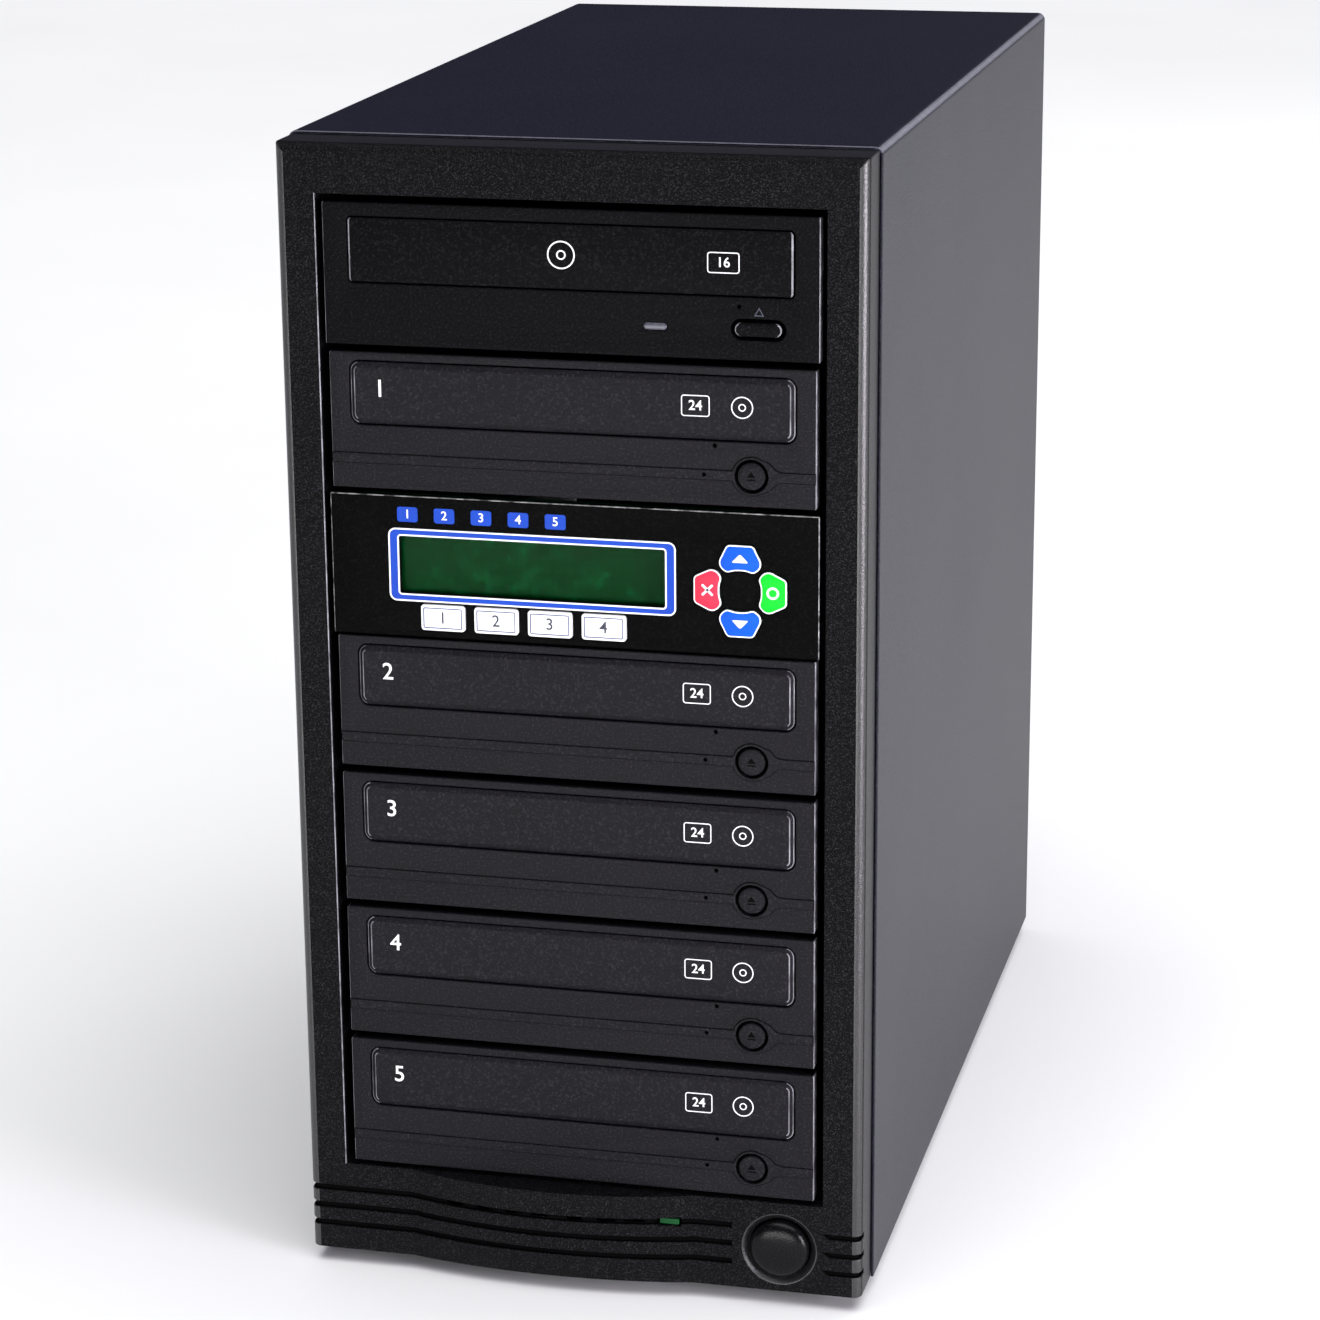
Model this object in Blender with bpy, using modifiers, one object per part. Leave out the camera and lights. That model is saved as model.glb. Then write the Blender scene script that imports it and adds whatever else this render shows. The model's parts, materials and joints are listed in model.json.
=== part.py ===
"""A disc duplicating tower: a steel case with seven drive bays, at its real size.

X runs to the right, Y from front to back and Z up. The origin is on the surface that the
tower stands on, under the middle of its box. Sizes are in metres and angles in degrees.
"""

import math
from types import SimpleNamespace

import bmesh
import bpy
from mathutils import Matrix, Vector

# Fits, walls and steps shared by many pieces
FIT = 0.0003
RUNNING_GAP = 0.0004
OVERRUN = 0.003
LAP = 0.0005
WELD = 0.000001
SHEET = 0.001
ROUND_STEPS = 5
ROUND_PROFILE = 0.5
FINE_SIDES = 32
PLAIN_SIDES = 24
SMALL_SIDES = 8
SMOOTH_ANGLE = 30

# Faces of the bays
FACE_WIDTH = 0.1482
FACE_HEIGHT = 0.0415
FACE_THICKNESS = 0.005
FACE_RECESS = 0.0004
BAY_COUNT = 7
BAY_GAP = 0.00246
BAY_SIDE_GAP = 0.00185
BAY_TOP_MARGIN = 0.0032
BAY_BOTTOM_MARGIN = 0.0015
READER_EXTRA_WIDTH = 0.0018
READER_EXTRA_TOP = 0.0009
READER_EXTRA_BOTTOM = 0.0002
PANEL_EXTRA_WIDTH = 0.0021
PANEL_EXTRA_TOP = 0.0006
PANEL_EXTRA_BOTTOM = 0.0016

# Case
SIDE_BAR = 0.0122
TOP_BAR = 0.0149
SILL_HEIGHT = 0.0297
BEZEL_DEPTH = 0.0164
BEZEL_WALL = 0.0024
BEZEL_CORNER = 0.0028
RIM_WALL = 0.002
COVER_STEP = 0.001
COVER_BEND = 0.0025
CASE_DEPTH = 0.3501
FLOOR_FLANGE = 0.012
REAR_RECESS = 0.0035
REAR_FLANGE = 0.012
CAGE_DEPTH = 0.185
CAGE_FOOT_MARGIN = 0.012
CAGE_TOP_LIP = 0.016
CAGE_TOP_GAP = 0.0008
CAGE_SLOT_LENGTH = 0.014
CAGE_SLOT_HEIGHT = 0.0036
CAGE_SLOT_SETBACKS = (0.030, 0.110)

# Bulge, grooves, slots and light of the bezel's lower part
NOSE_DEPTH = 0.0078
NOSE_WIDTH_SHARE = 0.5157
NOSE_OFFSET_SHARE = -0.0533
NOSE_STEPS = 16
NOSE_FOOT_SHARE = 0.62
GROOVE_DEPTH = 0.0013
GROOVE_HEIGHT = 0.0018
GROOVE_COUNT = 3
GROOVE_PITCH = 0.0061
GROOVE_LOWEST = 0.0087
GROOVE_REACH = 0.0046
GROOVE_RIGHT_GAP = 0.0036
NOTCH_HEIGHT = 0.0016
NOTCH_LOWEST = 0.0076
NOTCH_LENGTH = 0.0098
NOTCH_POINT = 0.002
VENT_COUNT = 7
VENT_WIDTH = 0.0049
VENT_PITCH = 0.00985
VENT_HEIGHT = 0.0015
LIGHT_WIDTH = 0.0062
LIGHT_HEIGHT = 0.0019
LIGHT_DEPTH = 0.008
LIGHT_NOSE_MARGIN = 0.0078

# Power button
POWER_DIAMETER = 0.0185
POWER_WELL_DIAMETER = 0.0233
POWER_WELL_DEPTH = 0.0022
POWER_CENTRE_HEIGHT = 0.0142
POWER_EDGE_MARGIN = 0.0136
POWER_RIM_SETBACK = 0.0015
POWER_DOME = 0.0036
POWER_TRAVEL = 0.0025
POWER_COLLAR_WALL = 0.0016
POWER_COLLAR_LENGTH = 0.0075
POWER_FLANGE = 0.0012
DOME_STEPS = 4

# Disc tray
TRAY_SIDE_GAP = 0.0087
SMALL_DISC_RECESS = 0.081
DISC_RECESS_DEPTH = 0.0032
SMALL_DISC_STEP = 0.0014
TRAY_RIM = 0.0038
TRAY_FRONT_WALL = 0.006
TRAY_TAIL = 0.024
TRAY_HEIGHT = 0.0128
TRAY_SLOT_WIDTH = 0.034
TRAY_SLOT_TAIL = 0.014
TRAY_TRAVEL = 0.14

# Drive body
BODY_INSET = 0.0011
BODY_TOP_STEP = 0.0002
BODY_BEHIND_TRAY = 0.014
CAN_WALL = 0.001
TRAY_OVER_GAP = 0.0037
TRAY_UNDER_GAP = 0.0035
DECK_THICKNESS = 0.0015
RAIL_HOLD = 0.0015
RAIL_LIP = 0.0016
SPINDLE_DIAMETER = 0.028
SPINDLE_HEIGHT = 0.003
LASER_SLOT_WIDTH = 0.030
LASER_SLOT_LENGTH = 0.045
PLUG_CUTOUT_WIDTH = 0.046
PLUG_CUTOUT_HEIGHT = 0.008

# Tray doors and eject buttons
DOOR_THICKNESS = 0.0045
DOOR_PROUD = 0.0003
DOOR_EDGE = 0.0005
BUTTON_TRAVEL = 0.001
BUTTON_FLANGE = 0.001
BUTTON_FLANGE_THICKNESS = 0.001
RIB_HEIGHT = 0.0029
RIB_PROUD = 0.0006
RIB_RING_DIAMETER = 0.0134
PIN_HOLE = 0.0012

# Reader's face
READER_DOOR_SIDE_MARGIN = 0.00785
READER_DOOR_BELOW_TRAY = 0.0050
READER_DOOR_HEIGHT = 0.0191
READER_DOOR_CORNER = 0.0011
READER_BUTTON_WIDTH = 0.0140
READER_BUTTON_HEIGHT = 0.0041
READER_BUTTON_RECESS = 0.0012
READER_BUTTON_RIGHT_SHARE = 0.878
READER_BUTTON_HEIGHT_SHARE = 0.478
READER_PIN_RIGHT_SHARE = 0.840
READER_PIN_HEIGHT_SHARE = 0.885
READER_LAMP_WIDTH = 0.0071
READER_LAMP_HEIGHT = 0.0022
READER_LAMP_RIGHT_SHARE = 0.673

# Writers' faces
WRITER_DOOR_SIDE_MARGIN = 0.0063
WRITER_DOOR_BELOW_TRAY = 0.0041
WRITER_DOOR_HEIGHT = 0.0190
WRITER_DOOR_CORNER = 0.0030
WRITER_BUTTON_DIAMETER = 0.0083
WRITER_BUTTON_RECESS = 0.00105
WRITER_BUTTON_RIGHT_SHARE = 0.869
WRITER_BUTTON_HEIGHT_SHARE = 0.470
WRITER_PIN_RIGHT_SHARE = 0.794
WRITER_PIN_HEIGHT_SHARE = 0.945
WRITER_LAMP_RIGHT_SHARE = 0.773

# Controller
PANEL_THICKNESS = 0.0024
PANEL_RECESS = 0.0002
PANEL_ARM_WALL = 0.002
PANEL_ARM_HEIGHT = 0.030
PANEL_ARM_LENGTH = 0.11
DISPLAY_LEFT_MARGIN = 0.02135
DISPLAY_RIGHT_MARGIN = 0.04675
DISPLAY_HEIGHT = 0.0177
DISPLAY_BOTTOM = 0.0135
DISPLAY_CORNER = 0.001
GLASS_THICKNESS = 0.001
GLASS_BORDER = 0.0022
MODULE_THICKNESS = 0.006
BOARD_THICKNESS = 0.0016
BOARD_SIDE_GAP = 0.003
BOARD_TOP_GAP = 0.002
POST_DIAMETER = 0.005
POST_INSET = 0.0035
KEY_PROUD = 0.0007
KEY_TRAVEL = 0.0004
KEY_GAP = 0.0030
KEY_HEIGHT = 0.0080
KEY_PITCH_SHARE = 0.2032
KEY_CORNER = 0.001
KEY_BOTTOM = 0.0023
KEY_LEFT_MARGIN = 0.0278
PETAL_REACH = 0.0141
PETAL_OUTER_HALF = 0.0040
PETAL_WIDE_HALF = 0.0062
PETAL_WIDE_START = 0.0086
PETAL_INNER_HALF = 0.0034
PETAL_INNER_START = 0.0056
PAD_EDGE_MARGIN = 0.02375
PAD_CENTRE_HEIGHT = 0.0199
KEY_NAMES = ("function_key_1", "function_key_2", "function_key_3", "function_key_4")
PETAL_NAMES = ("up_key", "left_key", "down_key", "right_key")

# Power supply, its inlet and its switch
SUPPLY_SIDE_GAP = 0.0139
SUPPLY_HEIGHT = 0.086
SUPPLY_CAGE_GAP = 0.0036
SUPPLY_RIM = 0.006
SUPPLY_FAN_DIAMETER = 0.074
SUPPLY_FAN_EDGE_MARGIN = 0.047
SPIDER_HUB = 0.030
SPIDER_ARM = 0.004
SPIDER_ANGLES = (45, 135)
SUPPLY_VENT_COUNT = 6
SUPPLY_VENT_WIDTH = 0.0038
SUPPLY_VENT_HEIGHT = 0.050
SUPPLY_VENT_PITCH = 0.016
SOCKET_WIDTH = 0.0242
SOCKET_HEIGHT = 0.0166
SOCKET_DEPTH = 0.0155
SOCKET_WALL = 0.0015
SOCKET_FLANGE = 0.0022
SOCKET_FLANGE_THICKNESS = 0.002
SOCKET_EDGE_MARGIN = 0.025
SOCKET_CENTRE_HEIGHT = 0.030
PIN_PITCH = 0.007
PIN_STEP = 0.002
PIN_WIDTH = 0.002
PIN_HEIGHT = 0.004
PIN_LENGTH = 0.0135
ROCKER_WIDTH = 0.0185
ROCKER_HEIGHT = 0.0125
ROCKER_DEPTH = 0.007
ROCKER_PROUD = 0.0012
ROCKER_BACK_SHARE = 0.45
ROCKER_TILT = 9
ROCKER_CENTRE_HEIGHT = 0.058

# Rear case fan and fan rotors
FAN_SIZE = 0.080
FAN_DEPTH = 0.025
FAN_BORE = 0.076
FAN_CORNER = 0.005
FAN_CENTRE_HEIGHT = 0.250
FAN_HUB = 0.034
FAN_TIP_GAP = 0.0015
FAN_BASE_THICKNESS = 0.003
FAN_FRONT_SETBACK = 0.002
FAN_SHAFT = 0.004
FAN_SHAFT_LENGTH = 0.008
SUPPLY_ROTOR_DEPTH = 0.018
BLADE_COUNT = 7
BLADE_THICKNESS = 0.0016
BLADE_PITCH = 38
BLADE_DEPTH_SHARE = 0.62
GRILLE_SLOT_HEIGHT = 0.0038
GRILLE_SLOT_PITCH = 0.0076
GRILLE_SLOT_COUNT = 9
GRILLE_DIAMETER = 0.074

# Feet
FOOT_HEIGHT = 0.005
FOOT_DIAMETER = 0.020
FOOT_TAPER = 0.0015
FOOT_SIDE_MARGIN = 0.020
FOOT_FRONT_MARGIN = 0.045
FOOT_REAR_MARGIN = 0.035

# Sizes that follow
READER_FACE_WIDTH = FACE_WIDTH + READER_EXTRA_WIDTH
PANEL_WIDTH = FACE_WIDTH + PANEL_EXTRA_WIDTH
PANEL_HEIGHT = FACE_HEIGHT + PANEL_EXTRA_TOP + PANEL_EXTRA_BOTTOM
BAY_PITCH = FACE_HEIGHT + BAY_GAP
OPENING_WIDTH = max(READER_FACE_WIDTH, PANEL_WIDTH) + 2 * BAY_SIDE_GAP
OPENING_HEIGHT = BAY_BOTTOM_MARGIN + (BAY_COUNT - 1) * BAY_PITCH + FACE_HEIGHT + BAY_TOP_MARGIN
BEZEL_WIDTH = OPENING_WIDTH + 2 * SIDE_BAR
BEZEL_HEIGHT = SILL_HEIGHT + OPENING_HEIGHT + TOP_BAR
CASE_WIDTH = BEZEL_WIDTH + 2 * COVER_STEP
CASE_HEIGHT = BEZEL_HEIGHT + COVER_STEP

FRONT_Y = NOSE_DEPTH - (NOSE_DEPTH + CASE_DEPTH) / 2
INSIDE_Y = FRONT_Y + BEZEL_DEPTH + FIT
BACK_Y = FRONT_Y + CASE_DEPTH
PANEL_BACK_Y = BACK_Y - REAR_RECESS
SUPPLY_BACK_Y = PANEL_BACK_Y - SHEET - FIT
FLOOR_Z = FOOT_HEIGHT
FLOOR_TOP_Z = FLOOR_Z + SHEET
SILL_Z = FLOOR_Z + SILL_HEIGHT
TOP_Z = FLOOR_Z + CASE_HEIGHT
INNER_HALF_WIDTH = CASE_WIDTH / 2 - SHEET - FIT
LOWEST_BAY_Z = SILL_Z + BAY_BOTTOM_MARGIN
NOSE_WIDTH = BEZEL_WIDTH * NOSE_WIDTH_SHARE
NOSE_OFFSET = BEZEL_WIDTH * NOSE_OFFSET_SHARE
LIGHT_X = NOSE_OFFSET + NOSE_WIDTH / 2 - LIGHT_NOSE_MARGIN
POWER_X = BEZEL_WIDTH / 2 - SIDE_BAR - POWER_EDGE_MARGIN
POWER_HOLE = POWER_DIAMETER + 2 * RUNNING_GAP

BODY_WIDTH = FACE_WIDTH - 2 * BODY_INSET
BODY_HEIGHT = FACE_HEIGHT - BODY_TOP_STEP
TRAY_WIDTH = BODY_WIDTH - 2 * TRAY_SIDE_GAP
DISC_RECESS = TRAY_WIDTH - 2 * TRAY_RIM
TRAY_LENGTH = TRAY_FRONT_WALL + DISC_RECESS + TRAY_TAIL
TRAY_TOP = BODY_HEIGHT - CAN_WALL - TRAY_OVER_GAP
TRAY_BOTTOM = TRAY_TOP - TRAY_HEIGHT
DECK_TOP = TRAY_BOTTOM - TRAY_UNDER_GAP
TRAY_FRONT = FACE_RECESS - DOOR_PROUD + DOOR_THICKNESS + FIT
DISC_CENTRE_Y = TRAY_FRONT + TRAY_FRONT_WALL + DISC_RECESS / 2
BODY_FRONT = FACE_RECESS + FACE_THICKNESS + FIT
BODY_BACK = TRAY_FRONT + TRAY_LENGTH + BODY_BEHIND_TRAY
CAGE_INNER_X = BODY_WIDTH / 2 + FIT

PANEL_BACK = PANEL_RECESS + PANEL_THICKNESS
GLASS_FRONT = PANEL_BACK + FIT
MODULE_FRONT = GLASS_FRONT + GLASS_THICKNESS + FIT
BOARD_FRONT = MODULE_FRONT + MODULE_THICKNESS + FIT
KEY_BACK = BOARD_FRONT - FIT - KEY_TRAVEL
DISPLAY_WIDTH = PANEL_WIDTH - DISPLAY_LEFT_MARGIN - DISPLAY_RIGHT_MARGIN
DISPLAY_CENTRE_X = (DISPLAY_LEFT_MARGIN - DISPLAY_RIGHT_MARGIN) / 2
KEY_PITCH = DISPLAY_WIDTH * KEY_PITCH_SHARE
KEY_WIDTH = KEY_PITCH - KEY_GAP
KEY_FIRST_X = KEY_LEFT_MARGIN + KEY_WIDTH / 2 - PANEL_WIDTH / 2
PAD_CENTRE_X = PANEL_WIDTH / 2 - PAD_EDGE_MARGIN

SUPPLY_WIDTH = 2 * (INNER_HALF_WIDTH - SUPPLY_SIDE_GAP)
SUPPLY_FRONT_Y = INSIDE_Y + CAGE_DEPTH + SUPPLY_CAGE_GAP
SUPPLY_FAN_X = SUPPLY_FAN_EDGE_MARGIN - SUPPLY_WIDTH / 2
SOCKET_X = SUPPLY_WIDTH / 2 - SOCKET_EDGE_MARGIN
SUPPLY_BOTTOM_Z = FLOOR_TOP_Z + FIT
SOCKET_Z = SUPPLY_BOTTOM_Z + SOCKET_CENTRE_HEIGHT
ROCKER_Z = SUPPLY_BOTTOM_Z + ROCKER_CENTRE_HEIGHT
SUPPLY_FAN_Z = SUPPLY_BOTTOM_Z + SUPPLY_HEIGHT / 2
FAN_Z = FLOOR_Z + FAN_CENTRE_HEIGHT

READER = SimpleNamespace(
    width=READER_FACE_WIDTH,
    bottom=-READER_EXTRA_BOTTOM,
    top=FACE_HEIGHT + READER_EXTRA_TOP,
    door_side_margin=READER_DOOR_SIDE_MARGIN,
    door_below_tray=READER_DOOR_BELOW_TRAY,
    door_height=READER_DOOR_HEIGHT,
    door_corner=READER_DOOR_CORNER,
    button_width=READER_BUTTON_WIDTH,
    button_height=READER_BUTTON_HEIGHT,
    button_recess=READER_BUTTON_RECESS,
    button_right_share=READER_BUTTON_RIGHT_SHARE,
    button_height_share=READER_BUTTON_HEIGHT_SHARE,
    pin_right_share=READER_PIN_RIGHT_SHARE,
    pin_height_share=READER_PIN_HEIGHT_SHARE,
    lamp_width=READER_LAMP_WIDTH,
    lamp_height=READER_LAMP_HEIGHT,
    lamp_right_share=READER_LAMP_RIGHT_SHARE,
    rib=False,
)
WRITER = SimpleNamespace(
    width=FACE_WIDTH,
    bottom=0,
    top=FACE_HEIGHT,
    door_side_margin=WRITER_DOOR_SIDE_MARGIN,
    door_below_tray=WRITER_DOOR_BELOW_TRAY,
    door_height=WRITER_DOOR_HEIGHT,
    door_corner=WRITER_DOOR_CORNER,
    button_width=WRITER_BUTTON_DIAMETER,
    button_height=WRITER_BUTTON_DIAMETER,
    button_recess=WRITER_BUTTON_RECESS,
    button_right_share=WRITER_BUTTON_RIGHT_SHARE,
    button_height_share=WRITER_BUTTON_HEIGHT_SHARE,
    pin_right_share=WRITER_PIN_RIGHT_SHARE,
    pin_height_share=WRITER_PIN_HEIGHT_SHARE,
    lamp_width=PIN_HOLE,
    lamp_height=PIN_HOLE,
    lamp_right_share=WRITER_LAMP_RIGHT_SHARE,
    rib=True,
)

# The bays from the top down
BAYS = ("reader", "writer_1", "controller", "writer_2", "writer_3", "writer_4", "writer_5")


def clear_scene():
    for old in list(bpy.data.objects):
        bpy.data.objects.remove(old, do_unlink=True)


def new_collection(name):
    made = bpy.data.collections.new(name)
    bpy.context.scene.collection.children.link(made)
    return made


clear_scene()
PARTS = new_collection("disc_duplicator_tower")
WORKSHOP = new_collection("cutters")


def make_material(name, colour, roughness, metallic=0):
    made = bpy.data.materials.new(name)
    made.use_nodes = True
    shader = made.node_tree.nodes["Principled BSDF"]
    shader.inputs["Base Color"].default_value = (*colour, 1)
    shader.inputs["Roughness"].default_value = roughness
    shader.inputs["Metallic"].default_value = metallic
    made.diffuse_color = (*colour, 1)
    return made


MATERIALS = {
    "powder_coat": make_material("powder_coat", (0.014, 0.015, 0.020), 0.55),
    "bezel_plastic": make_material("bezel_plastic", (0.016, 0.016, 0.017), 0.45),
    "face_plastic": make_material("face_plastic", (0.028, 0.028, 0.030), 0.42),
    "panel_plastic": make_material("panel_plastic", (0.012, 0.012, 0.013), 0.30),
    "tray_plastic": make_material("tray_plastic", (0.020, 0.020, 0.021), 0.50),
    "display_glass": make_material("display_glass", (0.004, 0.060, 0.012), 0.08),
    "display_module": make_material("display_module", (0.010, 0.080, 0.020), 0.40),
    "circuit_board": make_material("circuit_board", (0.010, 0.100, 0.030), 0.50),
    "white_key": make_material("white_key", (0.78, 0.79, 0.80), 0.40),
    "blue_key": make_material("blue_key", (0.022, 0.128, 0.720), 0.35),
    "red_key": make_material("red_key", (0.860, 0.060, 0.100), 0.35),
    "green_key": make_material("green_key", (0.012, 0.730, 0.050), 0.35),
    "green_lamp": make_material("green_lamp", (0.020, 0.620, 0.060), 0.20),
    "steel": make_material("steel", (0.560, 0.570, 0.580), 0.35, 1),
    "black_plastic": make_material("black_plastic", (0.012, 0.012, 0.012), 0.40),
    "rubber": make_material("rubber", (0.010, 0.010, 0.010), 0.85),
}


def into(collection, name, mesh):
    made = bpy.data.objects.new(name, mesh)
    collection.objects.link(made)
    return made


def helper(name, mesh):
    """An object of the workshop, which is never part of the tower."""
    made = into(WORKSHOP, name, mesh)
    made.hide_render = True
    made.display_type = "WIRE"
    return made


def box(low, high):
    """A closed box between two corners."""
    low, high = Vector(low), Vector(high)
    shape = bmesh.new()
    bmesh.ops.create_cube(shape, size=1)
    bmesh.ops.scale(shape, vec=high - low, verts=shape.verts)
    bmesh.ops.translate(shape, vec=(low + high) / 2, verts=shape.verts)
    mesh = bpy.data.meshes.new("box")
    shape.to_mesh(mesh)
    shape.free()
    return helper("box", mesh)


def cone(start, end, start_radius, end_radius, sides=PLAIN_SIDES):
    """A closed cone or cylinder between two points on its axis."""
    start, end = Vector(start), Vector(end)
    shape = bmesh.new()
    bmesh.ops.create_cone(
        shape,
        cap_ends=True,
        segments=sides,
        radius1=start_radius,
        radius2=end_radius,
        depth=(end - start).length,
    )
    mesh = bpy.data.meshes.new("cone")
    shape.to_mesh(mesh)
    shape.free()
    turn = (end - start).to_track_quat("Z", "Y").to_matrix().to_4x4()
    mesh.transform(Matrix.Translation((start + end) / 2) @ turn)
    return helper("cone", mesh)


def cylinder(start, end, radius, sides=PLAIN_SIDES):
    return cone(start, end, radius, radius, sides)


def evaluated_mesh(made):
    """The object's mesh with its modifiers applied, in world space, its loose points welded."""
    graph = bpy.context.evaluated_depsgraph_get()
    graph.update()
    mesh = bpy.data.meshes.new_from_object(made.evaluated_get(graph))
    mesh.transform(made.matrix_world)
    shape = bmesh.new()
    shape.from_mesh(mesh)
    bmesh.ops.remove_doubles(shape, verts=shape.verts, dist=WELD)
    shape.to_mesh(mesh)
    shape.free()
    return mesh


def prism(outlines, axis, start, end):
    """A flat outline, with holes if it has more than one loop, drawn out along Y or Z."""
    flat = bpy.data.curves.new("outline", "CURVE")
    flat.dimensions = "2D"
    flat.fill_mode = "BOTH"
    flat.extrude = (end - start) / 2
    for points in outlines:
        loop = flat.splines.new("POLY")
        loop.points.add(len(points) - 1)
        loop.use_cyclic_u = True
        for spot, (across, up) in zip(loop.points, points):
            spot.co = (across, up, 0, 1)
    drawn = helper("outline", flat)
    if axis == "Y":
        drawn.rotation_euler.x = math.pi / 2
        drawn.location.y = (start + end) / 2
    else:
        drawn.location.z = (start + end) / 2
    bpy.context.view_layer.update()
    mesh = evaluated_mesh(drawn)
    bpy.data.objects.remove(drawn)
    return helper("prism", mesh)


def turned(profile, place, sides=PLAIN_SIDES, facing_front=False):
    """A profile of (radius, height) points from the top down, turned about a vertical axis."""
    mesh = bpy.data.meshes.new("profile")
    edges = [(i, i + 1) for i in range(len(profile) - 1)]
    mesh.from_pydata([(radius, 0, height) for radius, height in profile], edges, [])
    made = helper("turned", mesh)
    made.location = place
    if facing_front:
        made.rotation_euler.x = math.pi / 2
    screw = made.modifiers.new("turn", "SCREW")
    screw.steps = sides
    screw.render_steps = sides
    screw.use_merge_vertices = True
    screw.merge_threshold = WELD
    bpy.context.view_layer.update()
    solid = helper("turned", evaluated_mesh(made))
    bpy.data.objects.remove(made)
    return solid


def combine(made, other, operation):
    """Cuts or joins the other object, and uses it up."""
    modifier = made.modifiers.new(operation.lower(), "BOOLEAN")
    modifier.operation = operation
    modifier.solver = "EXACT"
    modifier.object = other
    bpy.context.view_layer.update()
    mesh = evaluated_mesh(made)
    made.modifiers.clear()
    made.matrix_world = Matrix()
    made.data = mesh
    bpy.data.objects.remove(other)
    return made


def cut(made, *others):
    for other in others:
        combine(made, other, "DIFFERENCE")
    return made


def join(made, *others):
    for other in others:
        combine(made, other, "UNION")
    return made


def dressed(made, name, material, origin=(0, 0, 0)):
    """Uses up a shape, and gives its mesh about the given point, with its material."""
    mesh = made.data
    mesh.transform(made.matrix_world)
    mesh.transform(Matrix.Translation(-Vector(origin)))
    mesh.name = name
    mesh.materials.clear()
    mesh.materials.append(MATERIALS[material])
    mesh.shade_smooth()
    mesh.set_sharp_from_angle(angle=math.radians(SMOOTH_ANGLE))
    bpy.data.objects.remove(made)
    return mesh


def place(mesh, name, origin=(0, 0, 0), parent=None):
    made = into(PARTS, name, mesh)
    made.location = origin
    made.parent = parent
    return made


def finish(made, name, material, origin=(0, 0, 0), parent=None):
    """Makes a shape one of the tower's pieces, with its origin at the given point."""
    return place(dressed(made, name, material, origin), name, origin, parent)


def rounded(width, height, radius, centre=(0, 0), grow=0):
    """The outline of a rectangle with round corners, as large again as grow on every side."""
    half_width, half_height = width / 2 + grow, height / 2 + grow
    radius = min(radius + grow, half_width, half_height)
    points = []
    for quarter in range(4):
        corner_x = (half_width - radius) * (1 if quarter in (0, 3) else -1)
        corner_y = (half_height - radius) * (1 if quarter in (0, 1) else -1)
        for step in range(ROUND_STEPS):
            angle = math.pi / 2 * (quarter + step / (ROUND_STEPS - 1))
            point = (
                centre[0] + corner_x + radius * math.cos(angle),
                centre[1] + corner_y + radius * math.sin(angle),
            )
            if not points or math.dist(point, points[-1]) > WELD:
                points.append(point)
    if math.dist(points[0], points[-1]) < WELD:
        points.pop()
    return points


def rectangle(low, high):
    return [(low[0], low[1]), (high[0], low[1]), (high[0], high[1]), (low[0], high[1])]


def mirrored(points):
    """Half an outline on the right, and the same half on the left."""
    return points + [(-across, up) for across, up in reversed(points)]


# Case

def make_cover():
    """One bent sheet: the top and both sides."""
    half, inner = CASE_WIDTH / 2, CASE_WIDTH / 2 - SHEET
    right = [(inner, FLOOR_Z), (half, FLOOR_Z)]
    right += bend(half, TOP_Z, COVER_BEND)
    left = [(-across, up) for across, up in reversed(right)]
    inside = bend(inner, TOP_Z - SHEET, COVER_BEND - SHEET)
    outline = right + left
    outline += [(-across, up) for across, up in inside]
    outline += list(reversed(inside))
    cover = prism([outline], "Y", FRONT_Y + BEZEL_DEPTH, BACK_Y)
    return finish(cover, "case_cover", "powder_coat")


def bend(half, top, radius):
    """The points of a round bend between a right side and a top."""
    points = []
    for step in range(ROUND_STEPS):
        angle = math.pi / 2 * step / (ROUND_STEPS - 1)
        across = half - radius + radius * math.cos(angle)
        points.append((across, top - radius + radius * math.sin(angle)))
    return points


def nose_outline(inset):
    """The plan of the bulge at the bezel's foot, inset from its outer surface."""
    half = NOSE_WIDTH / 2
    radius = (half**2 + NOSE_DEPTH**2) / (2 * NOSE_DEPTH)
    centre_y = FRONT_Y - NOSE_DEPTH + radius
    reach = radius - inset
    back = FRONT_Y + inset + LAP
    spread = math.acos((centre_y - back) / reach)
    points = []
    for step in range(NOSE_STEPS + 1):
        angle = spread * (2 * step / NOSE_STEPS - 1)
        points.append((NOSE_OFFSET + reach * math.sin(angle), centre_y - reach * math.cos(angle)))
    return points


def bezel_form(inset, back):
    """The bezel's outer shape, shrunk by the inset, from its front to the given depth."""
    half = BEZEL_WIDTH / 2 - inset
    front = FRONT_Y + inset
    low, high = FLOOR_Z + inset, FLOOR_Z + BEZEL_HEIGHT - inset
    form = box((-half, front, low), (half, back, high))
    radius = BEZEL_CORNER - inset
    if radius > WELD:
        shape = bmesh.new()
        shape.from_mesh(form.data)
        edges = [
            edge
            for edge in shape.edges
            if all(vert.co.y < front + WELD for vert in edge.verts)
            and not all(vert.co.z < low + WELD for vert in edge.verts)
        ]
        bmesh.ops.bevel(
            shape, geom=edges, offset=radius, segments=ROUND_STEPS - 1, profile=ROUND_PROFILE, affect="EDGES"
        )
        shape.to_mesh(form.data)
        shape.free()
    nose_top = SILL_Z - inset
    nose = prism([nose_outline(inset)], "Z", low, nose_top)
    shape = bmesh.new()
    shape.from_mesh(nose.data)
    for vert in shape.verts:
        if vert.co.y < front and vert.co.z < low + WELD:
            vert.co.y = front + (vert.co.y - front) * NOSE_FOOT_SHARE
    bmesh.ops.triangulate(shape, faces=shape.faces)
    shape.to_mesh(nose.data)
    shape.free()
    return join(form, nose)


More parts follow.
